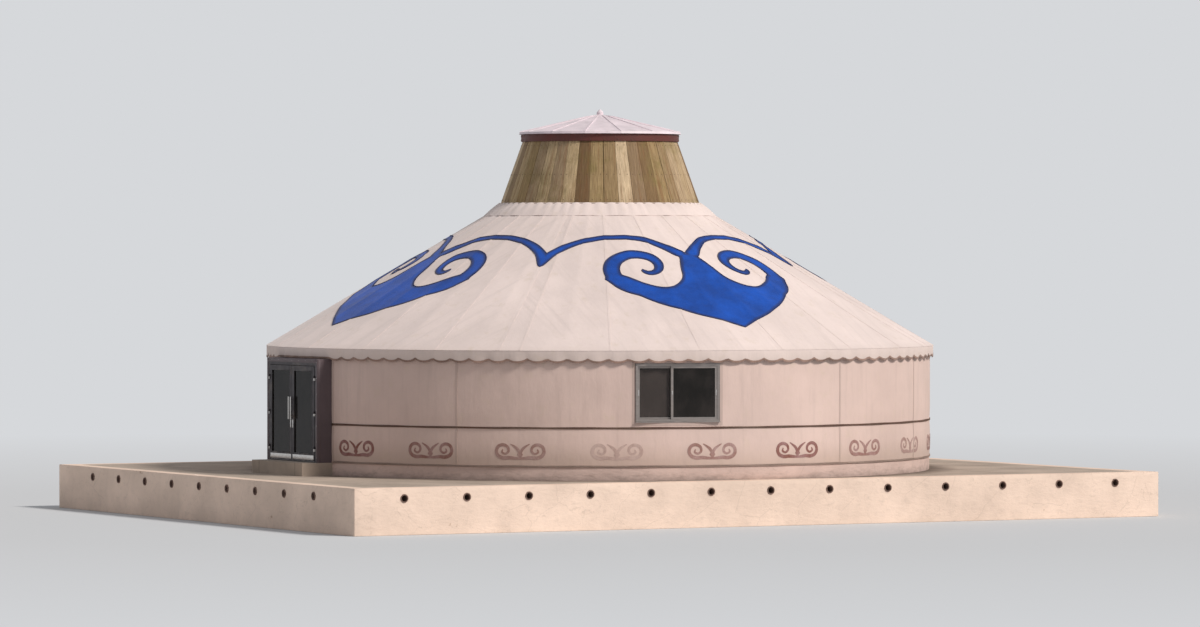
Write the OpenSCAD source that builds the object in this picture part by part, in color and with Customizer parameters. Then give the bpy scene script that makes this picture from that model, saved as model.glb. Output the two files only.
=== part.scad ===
// Round felt tent of the steppe with a boarded lantern, standing on a masonry platform.
// Millimetres, Z up. The door faces -Y. The origin is the centre of the platform's underside.
// Angles round the wall are counted from the door, towards +X.

/* [Platform] */
// How far the platform reaches beyond the wall in front and behind
end_margin = 2000; // [900:50:4000]
// How far the platform reaches beyond the wall at the sides
side_margin = 300; // [150:50:2500]
// Height above the ground
platform_height = 800; // [500:50:1500]
// Thickness of the masonry walls
platform_wall = 300; // [200:10:400]
// Thickness of the top slab
slab_thickness = 120; // [80:10:200]
// Distance between drain pipes
drain_spacing = 1180; // [800:20:2400]
// Outer diameter of a drain pipe
drain_diameter = 140; // [90:5:200]
// Depth of the drain pipes' centre below the platform's top
drain_depth = 180; // [140:10:350]

/* [Wall] */
// Outer radius of the round wall
wall_radius = 6000; // [4600:50:7500]
// Thickness of lattice, felt and canvas together
wall_thickness = 120; // [80:5:200]
// Height of the roof's edge above the platform
eave_height = 2250; // [1900:10:2900]
// Height of floor, curb and sill above the platform
floor_height = 230; // [100:10:350]
// Width of the curb ring under the wall
curb_width = 240; // [180:10:400]
// Distance of the tied belt's centre below the windows
belt_drop = 100; // [30:5:250]
// Height of a belt
belt_size = 36; // [20:2:60]

/* [Door] */
// Clear width between the metal jambs
door_width = 1860; // [1300:20:2300]
// Height of the wall left over the surround
door_lintel = 70; // [40:10:200]
// Thickness of a leaf
leaf_thickness = 45; // [35:1:60]
// Width of a leaf's stiles and rails
stile_width = 75; // [50:5:110]
// Gap round a leaf
leaf_gap = 8; // [6:1:12]
// How far the surround's face stands before the round wall
door_projection = 200; // [150:10:500]
// Thickness of the surround's boards
surround_board = 70; // [40:5:100]

/* [Windows] */
// Angle of the windows from the door
window_angle = 75; // [55:1:100]
// Width of a window frame
window_width = 1500; // [900:20:1900]
// Height of a window frame
window_height = 1020; // [700:10:1240]
// Height of the wall left over a window
window_lintel = 100; // [60:10:250]
// Width of the frame's members
window_bar = 45; // [35:5:60]

/* [Roof] */
// Rise of the roof from its edge to the lantern
roof_rise = 2500; // [1800:20:3000]
// How far the roof's edge reaches beyond the wall
eave_overhang = 80; // [60:5:200]
// Thickness of felt and canvas, measured upright
cover_thickness = 70; // [40:5:90]
// Number of roof poles
pole_count = 48; // [24:4:64]
// Width of a pole
pole_width = 60; // [40:5:80]
// Height of a pole, measured upright
pole_depth = 80; // [60:5:100]
// Radius of the crown ring
crown_radius = 1860; // [1500:20:2300]
// Depth of the valance hanging at the roof's edge
valance_depth = 130; // [80:10:200]

/* [Lantern] */
// Height of the boarded lantern wall
lantern_height = 1210; // [800:10:1500]
// How far the lantern's wall leans in over its height
lantern_lean = 430; // [200:10:600]
// Thickness of the lantern's wall
lantern_board = 40; // [30:5:60]
// Height of the dark ring under the cap
ring_height = 130; // [100:10:200]
// How far the cap's rim reaches beyond the lantern's top
cap_overhang = 60; // [40:5:200]
// Rise of the cap
cap_rise = 330; // [200:10:500]

/* [Hidden] */
// Steps of the wide circles
$fn = 360;
// Steps of the narrow ones
small = 48;
// Play between pieces that lie against each other
play = 0.3;
// The same play as an angle at the wall
turn = play / wall_radius * 57.3;
platform_width = 2 * (wall_radius + side_margin);
platform_length = 2 * (wall_radius + end_margin);
base_z = platform_height;
floor_z = base_z + floor_height;
wall_in = wall_radius - wall_thickness;
eave_radius = wall_radius + eave_overhang;
eave_z = base_z + eave_height;
slope = roof_rise / (eave_radius - crown_radius);
top_ring_z = eave_z - cover_thickness - 50;
window_top = top_ring_z - window_lintel;
window_z = window_top - window_height;
frame_bar = 50;
door_z = floor_z + 20;
surround_top = top_ring_z - door_lintel;
door_top = surround_top - surround_board - frame_bar;
door_height = door_top - door_z;
surround_half = door_width / 2 + frame_bar + surround_board;
surround_back = wall_in - 100;
door_reach = wall_radius + door_projection;
leaf_width = (door_width - 2 * leaf_gap - 12) / 2;
leaf_x = door_width / 2 - leaf_gap;
leaf_y = -door_reach - 5;
hinge_x = door_width / 2;
hinge_y = -door_reach - 15;
hinge_heights = [door_z + 220, door_z + door_height / 2, door_z + door_height - 220];
glass_thickness = 8;
window_in = wall_in + 10;
window_out = wall_radius - 10;
crown_in = crown_radius - 220;
crown_top = eave_z + roof_rise - 10;
crown_z = crown_top - cover_thickness - pole_depth + 10;
lantern_foot = crown_radius - 10;
lantern_top = lantern_foot - lantern_lean;
lantern_z = crown_top + lantern_height;
cap_z = lantern_z + ring_height;
cap_radius = lantern_top + cap_overhang;
// Ends of the wall segments, in degrees from the door
front_end = window_angle / 2;
side_end = window_angle + 31.5;
quarter_end = side_end + (180 - side_end) / 3;
rear_end = 180 - (180 - side_end) / 3;

// Top surface of the roof's cover at a radius
function roof_z(r) = eave_z + (eave_radius - r) * slope;

// Outer radius of the lantern at a height above its foot
function lantern_r(h) = lantern_foot - lantern_lean * h / lantern_height;

// Part of a ring between two angles from the door
module sector(a0, a1, r0, r1, z0, z1)
    rotate([0, 0, a0 - 90])
        rotate_extrude(angle = a1 - a0)
            polygon([[r0, z0], [r1, z0], [r1, z1], [r0, z1]]);

// Upright slot through the wall with parallel sides, at an angle from the door
module slot(a, half, z0, z1)
    rotate([0, 0, a - 90])
        translate([wall_radius - 1500, -half, z0])
            cube([3000, 2 * half, z1 - z0]);

module both_sides() {
    children();
    mirror([1, 0, 0]) children();
}

// Pieces that repeat at both windows, drawn with the wall's outward direction along +X
module at_windows()
    both_sides()
        rotate([0, 0, window_angle - 90])
            children();

module wall_band(a0, a1)
    difference() {
        sector(a0 + turn, a1 - turn, wall_in, wall_radius, floor_z + play, top_ring_z - play);
        slot(0, surround_half + play, 0, eave_z);
        slot(window_angle, window_width / 2 + play, 0, eave_z);
    }

module end_wall(n)
    difference() {
        translate([-platform_width / 2, -platform_length / 2, 0])
            cube([platform_width, platform_wall, platform_height]);
        for (i = [0 : n - 1])
            translate([(i - (n - 1) / 2) * drain_spacing, -platform_length / 2 - 5, platform_height - drain_depth])
                rotate([-90, 0, 0])
                    cylinder(h = platform_wall + 10, d = drain_diameter, $fn = small);
    }

module long_wall(n)
    difference() {
        translate([platform_width / 2 - platform_wall, -platform_length / 2 + platform_wall, 0])
            cube([platform_wall, platform_length - 2 * platform_wall, platform_height]);
        for (i = [0 : n - 1])
            translate([platform_width / 2 + 5, (i - (n - 1) / 2) * drain_spacing, platform_height - drain_depth])
                rotate([0, -90, 0])
                    cylinder(h = platform_wall + 10, d = drain_diameter, $fn = small);
    }

end_drains = floor((platform_width - 900) / drain_spacing);
long_drains = floor((platform_length - 1300) / drain_spacing) + 1;

module platform_wall_front() color("#f4dccd") end_wall(end_drains);

module platform_wall_back() color("#f4dccd") rotate([0, 0, 180]) end_wall(end_drains);

module platform_wall_right() color("#f4dccd") long_wall(long_drains);

module platform_wall_left() color("#f4dccd") rotate([0, 0, 180]) long_wall(long_drains);

module platform_fill()
    color("#8b7355")
        translate([-platform_width / 2 + platform_wall, -platform_length / 2 + platform_wall, 0])
            cube([
                platform_width - 2 * platform_wall,
                platform_length - 2 * platform_wall,
                platform_height - slab_thickness
            ]);

module platform_slab()
    color("#c9bdae")
        translate([
            -platform_width / 2 + platform_wall,
            -platform_length / 2 + platform_wall,
            platform_height - slab_thickness
        ])
            cube([
                platform_width - 2 * platform_wall,
                platform_length - 2 * platform_wall,
                slab_thickness
            ]);

// A drain pipe from just outside a platform wall to its inner face
module pipe()
    translate([0, -25, 0])
        rotate([-90, 0, 0])
            difference() {
                cylinder(h = platform_wall + 25, d = drain_diameter, $fn = small);
                translate([0, 0, -5])
                    cylinder(h = platform_wall + 35, d = drain_diameter - 30, $fn = small);
            }

module drain_pipes()
    color("#8f8480")
        for (side = [0, 180])
            rotate([0, 0, side]) {
                for (i = [0 : end_drains - 1])
                    translate([
                        (i - (end_drains - 1) / 2) * drain_spacing,
                        -platform_length / 2,
                        platform_height - drain_depth
                    ])
                        pipe();
                for (i = [0 : long_drains - 1])
                    translate([
                        platform_width / 2,
                        (i - (long_drains - 1) / 2) * drain_spacing,
                        platform_height - drain_depth
                    ])
                        rotate([0, 0, 90])
                            pipe();
            }

module base_curb()
    color("#b9a79a")
        translate([0, 0, base_z])
            difference() {
                cylinder(h = floor_height, r = wall_radius);
                translate([0, 0, -5])
                    cylinder(h = floor_height + 10, r = wall_radius - curb_width);
            }

module floor_disc()
    color("#9a7b55")
        translate([0, 0, base_z])
            cylinder(h = floor_height, r = wall_radius - curb_width);

module door_sill()
    color("#5a6068")
        difference() {
            translate([-surround_half, -door_reach - 300, base_z])
                cube([2 * surround_half, 1500, floor_height]);
            cylinder(h = 2 * floor_z, r = wall_radius + play);
        }

module wall_beside_door() color("#d8c0b8") both_sides() wall_band(5, front_end);

module wall_front() color("#d8c0b8") both_sides() wall_band(front_end, window_angle - 2);

module wall_side() color("#d8c0b8") both_sides() wall_band(window_angle + 2, side_end);

module wall_quarter() color("#d8c0b8") both_sides() wall_band(side_end, quarter_end);

module wall_rear() color("#d8c0b8") both_sides() wall_band(quarter_end, rear_end);

module wall_back() color("#d8c0b8") wall_band(rear_end, 360 - rear_end);

module wall_under_windows()
    color("#d8c0b8")
        both_sides()
            intersection() {
                sector(
                    window_angle - 20, window_angle + 20, wall_in, wall_radius,
                    floor_z + play, window_z - play
                );
                slot(window_angle, window_width / 2 - play, 0, eave_z);
            }

module wall_over_windows()
    color("#d8c0b8")
        both_sides()
            intersection() {
                sector(
                    window_angle - 20, window_angle + 20, wall_in, wall_radius,
                    window_top + play, top_ring_z - play
                );
                slot(window_angle, window_width / 2 - play, 0, eave_z);
            }

module wall_over_door()
    color("#d8c0b8")
        intersection() {
            sector(-20, 20, wall_in, wall_radius, surround_top + play, top_ring_z - play);
            slot(0, surround_half - play, 0, eave_z);
        }

module wall_belts()
    color("#8f7166")
        for (z = [window_z - belt_drop, floor_z + belt_size / 2])
            difference() {
                translate([0, 0, z - belt_size / 2])
                    cylinder(h = belt_size, r = wall_radius + 10);
                translate([0, 0, z - belt_size])
                    cylinder(h = 2 * belt_size, r = wall_radius + play);
                slot(0, surround_half + play, 0, eave_z);
            }

// Three-sided frame round the doorway, open below
module portal(half, top, bar, y0, y1, z0)
    difference() {
        translate([-half, y0, z0])
            cube([2 * half, y1 - y0, top - z0]);
        translate([-half + bar, y0 - 5, z0 - 5])
            cube([2 * (half - bar), y1 - y0 + 10, top - bar - z0 + 5]);
    }

module door_surround()
    color("#7c6a6e")
        portal(
            surround_half, surround_top, surround_board,
            -door_reach, -surround_back, floor_z + play
        );

module door_frame()
    color("#4b3e46") {
        portal(door_width / 2 + frame_bar, door_top + frame_bar, frame_bar, -door_reach, -door_reach + 80, floor_z);
        translate([-door_width / 2, -door_reach, floor_z])
            cube([door_width, 80, door_z - floor_z]);
    }

// Fixed half of the hinges on the +X side: a plate, a lower knuckle and the pin
module hinge_half()
    for (z = hinge_heights)
        translate([hinge_x, hinge_y, z]) {
            difference() {
                translate([0, 7, -42])
                    cube([40, 8, 42]);
                translate([0, 0, -50])
                    cylinder(h = 60, r = 8, $fn = small);
            }
            translate([0, 0, -42])
                cylinder(h = 42, r = 9, $fn = small);
            translate([0, 0, -42])
                cylinder(h = 84, r = 5, $fn = small);
        }

module door_hinges()
    color("#8a8a88")
        both_sides()
            hinge_half();

// A leaf's frame on the +X side, with the upper knuckles of its hinges
module leaf() {
    leaf_frame();
    for (z = hinge_heights)
        translate([hinge_x, hinge_y, z + 0.5])
            difference() {
                union() {
                    cylinder(h = 41.5, r = 9, $fn = small);
                    translate([-45, 6, 0])
                        cube([40, 4, 41.5]);
                }
                translate([0, 0, -5])
                    cylinder(h = 60, r = 5.3, $fn = small);
            }
}

module leaf_frame()
    difference() {
        translate([leaf_x - leaf_width, leaf_y, door_z + leaf_gap])
            cube([leaf_width, leaf_thickness, door_height - 2 * leaf_gap]);
        translate([leaf_x - leaf_width + stile_width, leaf_y - 5, door_z + leaf_gap + 1.5 * stile_width])
            cube([
                leaf_width - 2 * stile_width,
                leaf_thickness + 10,
                door_height - 2 * leaf_gap - 2.5 * stile_width
            ]);
    }

module pane()
    translate([
        leaf_x - leaf_width + stile_width,
        leaf_y + (leaf_thickness - glass_thickness) / 2,
        door_z + leaf_gap + 1.5 * stile_width
    ])
        cube([
            leaf_width - 2 * stile_width,
            glass_thickness,
            door_height - 2 * leaf_gap - 2.5 * stile_width
        ]);

// Pull bars on both faces of a leaf, joined by two bolts through the stile
module handle()
    translate([leaf_x - leaf_width + stile_width / 2, 0, door_z + door_height * 0.55])
        difference() {
            union() {
                for (y = [leaf_y - 45, leaf_y + leaf_thickness + 45])
                    translate([0, y, -200])
                        cylinder(h = 400, d = 26, $fn = small);
                for (z = [-150, 150])
                    translate([0, leaf_y - 45, z])
                        rotate([-90, 0, 0])
                            cylinder(h = leaf_thickness + 90, d = 16, $fn = small);
            }
            translate([-100, leaf_y, -300])
                cube([200, leaf_thickness, 600]);
        }

module door_leaf_right() color("#3a3438") leaf();

module door_leaf_left() color("#3a3438") mirror([1, 0, 0]) leaf();

module door_glass_right() color("#20262c") pane();

module door_glass_left() color("#20262c") mirror([1, 0, 0]) pane();

module door_handle_right() color("#b8b8b8") handle();

module door_handle_left() color("#b8b8b8") mirror([1, 0, 0]) handle();

// Rectangular frame standing across +X between two distances from the centre
module upright_frame(x0, x1, y0, y1, z0, z1, bar)
    difference() {
        translate([x0, y0, z0])
            cube([x1 - x0, y1 - y0, z1 - z0]);
        translate([x0 - 5, y0 + bar, z0 + bar])
            cube([x1 - x0 + 10, y1 - y0 - 2 * bar, z1 - z0 - 2 * bar]);
    }

module window_frames()
    color("#a8a4a2")
        at_windows()
            upright_frame(
                window_in, window_out, -window_width / 2, window_width / 2,
                window_z, window_top, window_bar
            );

sash_half = window_width / 2 - window_bar - play;
sash_bar = 40;
sash_lap = -sash_half * 0.14;

module window_sashes()
    color("#c4c0bd")
        at_windows() {
            upright_frame(
                window_in + 10, window_in + 40, -sash_half, sash_lap + sash_bar / 2,
                window_z + window_bar + play, window_top - window_bar - play, sash_bar
            );
            upright_frame(
                window_out - 40, window_out - 10, sash_lap - sash_bar / 2, sash_half,
                window_z + window_bar + play, window_top - window_bar - play, sash_bar
            );
        }

module window_glass()
    color("#3b4248")
        at_windows()
            for (s = [
                [window_in + 22, -sash_half + sash_bar, sash_lap - sash_bar / 2],
                [window_out - 28, sash_lap + sash_bar / 2, sash_half - sash_bar]
            ])
                translate([s[0], s[1] + play, window_z + window_bar + sash_bar + 2 * play])
                    cube([6, s[2] - s[1] - 2 * play, window_height - 2 * (window_bar + sash_bar + 2 * play)]);

module wall_top_ring()
    color("#8a5a3a")
        rotate_extrude()
            polygon([
                [wall_in, top_ring_z],
                [wall_radius, top_ring_z],
                [wall_radius, roof_z(wall_radius) - cover_thickness - play],
                [wall_in, roof_z(wall_in) - cover_thickness - play]
            ]);

module roof_poles()
    color("#b5651d")
        for (i = [0 : pole_count - 1])
            rotate([0, 0, (i + 0.5) * 360 / pole_count])
                rotate([90, 0, 0])
                    translate([0, 0, -pole_width / 2])
                        linear_extrude(pole_width)
                            polygon([
                                [wall_in - 0.5, roof_z(wall_in) - cover_thickness - 2 * play],
                                [crown_radius + play, roof_z(crown_radius) - cover_thickness - 2 * play],
                                [crown_radius + play, roof_z(crown_radius) - cover_thickness - pole_depth],
                                [wall_in - 0.5, roof_z(wall_in) - cover_thickness - pole_depth]
                            ]);

module crown_ring()
    color("#8a3b2a")
        translate([0, 0, crown_z])
            difference() {
                cylinder(h = crown_top - crown_z, r = crown_radius);
                translate([0, 0, -5])
                    cylinder(h = crown_top - crown_z + 10, r = crown_in);
            }

module roof_gore(a)
    rotate([0, 0, a - 135 + turn])
        rotate_extrude(angle = 90 - 2 * turn)
            polygon([
                [crown_radius + play, roof_z(crown_radius + play)],
                [eave_radius, eave_z],
                [eave_radius, eave_z - cover_thickness],
                [crown_radius + play, roof_z(crown_radius + play) - cover_thickness]
            ]);

module roof_cover_front() color("#ece0da") roof_gore(0);

module roof_cover_right() color("#ece0da") roof_gore(90);

module roof_cover_back() color("#ece0da") roof_gore(180);

module roof_cover_left() color("#ece0da") roof_gore(270);

module valance()
    color("#cdb8b0")
        difference() {
            rotate_extrude()
                polygon([
                    [eave_radius - 25, eave_z - cover_thickness - valance_depth],
                    [eave_radius, eave_z - cover_thickness - valance_depth],
                    [eave_radius, eave_z - cover_thickness - play],
                    [eave_radius - 25, roof_z(eave_radius - 25) - cover_thickness - play]
                ]);
            slot(0, surround_half + 5, 0, surround_top + 5);
        }

module roof_collar()
    color("#d9cbc2")
        rotate_extrude()
            polygon([
                [crown_radius, roof_z(crown_radius) + play],
                [crown_radius + 260, roof_z(crown_radius + 260) + play],
                [lantern_r(100) + 20, roof_z(crown_radius) + 90],
                [lantern_r(100) + play, roof_z(crown_radius) + 90],
                [lantern_r(10) + play, roof_z(crown_radius) + play]
            ]);

module lantern_wall()
    color("#a08050")
        translate([0, 0, crown_top])
            rotate_extrude()
                polygon([
                    [lantern_foot - lantern_board, 0],
                    [lantern_foot, 0],
                    [lantern_top, lantern_height],
                    [lantern_top - lantern_board, lantern_height]
                ]);

module lantern_ring()
    color("#5a2318")
        translate([0, 0, lantern_z])
            difference() {
                cylinder(h = ring_height, r = lantern_top + 20);
                translate([0, 0, -5])
                    cylinder(h = ring_height + 10, r = lantern_top - 80);
            }

module lantern_cap()
    color("#efe4e0")
        translate([0, 0, cap_z])
            rotate_extrude()
                polygon([
                    [0, cap_rise + 40],
                    [60, cap_rise + 40],
                    [cap_radius, 40],
                    [cap_radius, 0],
                    [lantern_top - 80, 0],
                    [60, cap_rise],
                    [0, cap_rise]
                ]);

module cap_knob()
    color("#d8c8b0")
        translate([0, 0, cap_z + cap_rise + 40]) {
            cylinder(h = 40, r = 60, $fn = small);
            translate([0, 0, 40])
                cylinder(h = 50, r1 = 60, r2 = 15, $fn = small);
        }

platform_wall_front();
platform_wall_back();
platform_wall_left();
platform_wall_right();
platform_fill();
platform_slab();
drain_pipes();
base_curb();
floor_disc();  // floor
door_sill();
wall_beside_door();
wall_front();
wall_under_windows();
wall_over_windows();
wall_side();
wall_quarter();
wall_rear();
wall_back();
wall_over_door();
wall_belts();
door_surround();
door_frame();
door_hinges();
door_leaf_left();
door_leaf_right();
door_glass_left();
door_glass_right();
door_handle_left();
door_handle_right();
window_frames();
window_sashes();
window_glass();
wall_top_ring();
roof_poles();
crown_ring();
roof_cover_front();
roof_cover_right();
roof_cover_back();
roof_cover_left();
valance();
roof_collar();
lantern_wall();
lantern_ring();
lantern_cap();
cap_knob();
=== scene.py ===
import random
from functools import reduce
from math import acos, asin, atan2, cos, degrees, exp, hypot, pi, radians, sin, sqrt, tan

import bmesh
import bpy
import numpy as np
from bpy.props import FloatProperty, FloatVectorProperty, IntProperty, PointerProperty
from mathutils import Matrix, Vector, noise


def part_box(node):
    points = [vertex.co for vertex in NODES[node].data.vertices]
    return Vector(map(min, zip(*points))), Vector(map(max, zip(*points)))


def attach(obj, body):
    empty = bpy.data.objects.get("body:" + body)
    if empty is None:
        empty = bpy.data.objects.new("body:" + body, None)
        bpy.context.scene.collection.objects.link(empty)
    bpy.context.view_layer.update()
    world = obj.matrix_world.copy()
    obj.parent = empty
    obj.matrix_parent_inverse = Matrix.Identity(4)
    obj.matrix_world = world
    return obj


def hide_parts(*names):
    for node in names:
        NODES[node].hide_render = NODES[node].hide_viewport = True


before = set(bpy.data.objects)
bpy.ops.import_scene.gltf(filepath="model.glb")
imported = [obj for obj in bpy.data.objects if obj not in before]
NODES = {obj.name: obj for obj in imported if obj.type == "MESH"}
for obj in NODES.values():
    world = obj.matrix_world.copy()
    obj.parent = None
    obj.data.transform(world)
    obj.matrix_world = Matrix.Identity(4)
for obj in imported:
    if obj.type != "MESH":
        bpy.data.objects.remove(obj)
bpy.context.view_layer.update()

bl_info = {
    "name": "Round felt tent",
    "version": (1, 0, 0),
    "blender": (4, 5, 0),
    "location": "3D View > Sidebar > Felt tent",
    "description": "Canvas, felt, lattice, lantern and platform of a round felt tent",
    "category": "Object",
}

# The frame's own sizes, in metres. Angles are in degrees from the door, growing towards +X.
SIDES = ("front", "right", "back", "left")


def node_points(*names):
    """Every vertex of some CAD nodes, as rows of x, y, z."""
    rows = []
    for name in names:
        mesh = NODES[name].data
        flat = np.empty(3 * len(mesh.vertices))
        mesh.vertices.foreach_get("co", flat)
        rows.append(flat.reshape(-1, 3))
    return np.concatenate(rows)


def reach(*names):
    """Nearest and farthest distance from the tent's centre line."""
    points = node_points(*names)
    radius = np.hypot(points[:, 0], points[:, 1])
    return float(radius.min()), float(radius.max())


def height(name):
    """Lowest and highest point of a node."""
    low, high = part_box(name)
    return low.z, high.z


def top_at(name, radius):
    """Highest point of a node at one distance from the centre line."""
    points = node_points(name)
    near = np.abs(np.hypot(points[:, 0], points[:, 1]) - radius) < 0.002
    return float(points[near, 2].max())


WALL_INNER, WALL_RADIUS = reach("wall_rear")
WALL_FOOT, WALL_TOP = height("wall_rear")
FLOOR_RADIUS = reach("floor")[1]
FLOOR_TOP = height("floor")[1]
CROWN_RADIUS, EAVE_RADIUS = reach("roof_cover_front")
CROWN_TOP = height("roof_cover_front")[1]
EAVE_TOP = top_at("roof_cover_front", EAVE_RADIUS)
ROOF_FALL = hypot(CROWN_TOP - EAVE_TOP, EAVE_RADIUS - CROWN_RADIUS)
ROOF_COS = (EAVE_RADIUS - CROWN_RADIUS) / ROOF_FALL
ROOF_PITCH = tan(acos(ROOF_COS))
GORE = 90.0
DOOR_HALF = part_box("door_surround")[1].x
DOOR_TOP = height("door_surround")[1]
WINDOW_LOW, WINDOW_HIGH = height("window_frames")
WINDOW_ANGLE = 75.0
WINDOW_HALF = 0.75
WINDOW_FACE = 5.99
INNER_TRACK = (5.93, 5.955)
OPENING_GAP = 0.001
VALANCE_FOOT = height("valance")[0]
LANTERN_FOOT, LANTERN_TOP = height("lantern_wall")
LANTERN_FOOT_RADIUS = reach("lantern_wall")[1]
LANTERN_TAPER = 0.43
PLATFORM_TOP = height("platform_slab")[1]
CURB_FOOT = height("base_curb")[0]
CURB_RADIUS = reach("base_curb")[1]


def linear(value):
    """One channel of a screen colour, 0 to 255, as linear light."""
    value = value / 255.0
    return value / 12.92 if value <= 0.04045 else ((value + 0.055) / 1.055) ** 2.4


def tone(name, red, green, blue):
    """A colour setting, from a screen colour."""
    return FloatVectorProperty(
        name=name,
        description="Colour of the finish: " + name.lower(),
        subtype="COLOR",
        size=3,
        min=0.0,
        max=1.0,
        default=(linear(red), linear(green), linear(blue)),
    )


def length(name, text, default, low, high):
    """A size setting, in metres."""
    return FloatProperty(name=name, description=text, default=default, min=low, max=high, unit="LENGTH")


class TentSizes(bpy.types.PropertyGroup):
    """Sizes of the cloth, cords and boards that the frame doesn't hold"""

    pole_count: IntProperty(
        name="Roof poles", description="Poles that the canvas lies over", default=48, min=12, max=80
    )
    roof_sag: length("Roof sag", "How far the canvas drops between two poles", 0.016, 0.0, 0.04)
    canvas_thickness: length("Canvas", "Thickness of the outer canvas", 0.005, 0.002, 0.01)
    felt_thickness: length("Felt", "Thickness of the felt under it", 0.014, 0.005, 0.02)
    scroll_thickness: length("Scroll cloth", "Thickness of the sewn-on scrolls", 0.004, 0.002, 0.01)
    lath_width: length("Lath width", "Width of a lattice lath", 0.035, 0.02, 0.06)
    lath_gap: length("Lath gap", "Distance between laths along the floor", 0.28, 0.15, 0.5)
    valance_wave: length("Valance scallop", "Length of one scallop of the valance", 0.35, 0.2, 0.8)
    rope_diameter: length("Belt rope", "Diameter of one rope of a belt", 0.0115, 0.006, 0.02)
    lantern_boards: IntProperty(
        name="Lantern boards", description="Boards round the lantern", default=42, min=20, max=80
    )
    floor_board: length("Floor board", "Width of a floor board", 0.14, 0.08, 0.25)


class TentColours(bpy.types.PropertyGroup):
    """Colours of the tent's finishes"""

    roof: tone("Roof canvas", 238, 220, 214)
    wall: tone("Wall canvas", 221, 195, 185)
    scroll: tone("Scroll cloth", 10, 74, 170)
    piping: tone("Piping", 34, 52, 104)
    hem: tone("Hem tape", 150, 122, 110)
    ornament: tone("Wall ornament", 148, 96, 84)
    rope: tone("Belt rope", 128, 100, 88)
    felt: tone("Felt", 196, 186, 170)
    lath: tone("Lattice", 168, 118, 66)
    pole: tone("Roof poles", 196, 96, 34)
    crown: tone("Crown", 138, 48, 30)
    board_light: tone("Light boards", 240, 214, 178)
    board_dark: tone("Dark boards", 104, 74, 44)
    ring: tone("Lantern ring", 92, 40, 32)
    cap: tone("Cap", 236, 220, 226)
    surround: tone("Door surround", 92, 78, 82)
    door: tone("Door metal", 52, 46, 50)
    window: tone("Window metal", 150, 142, 138)
    glass: tone("Glass", 108, 104, 100)
    masonry: tone("Whitewash", 242, 217, 199)
    cement: tone("Cement", 184, 168, 154)
    clay: tone("Drain clay", 132, 108, 98)
    earth: tone("Earth", 150, 120, 88)
    floor: tone("Floor boards", 168, 122, 80)


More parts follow.
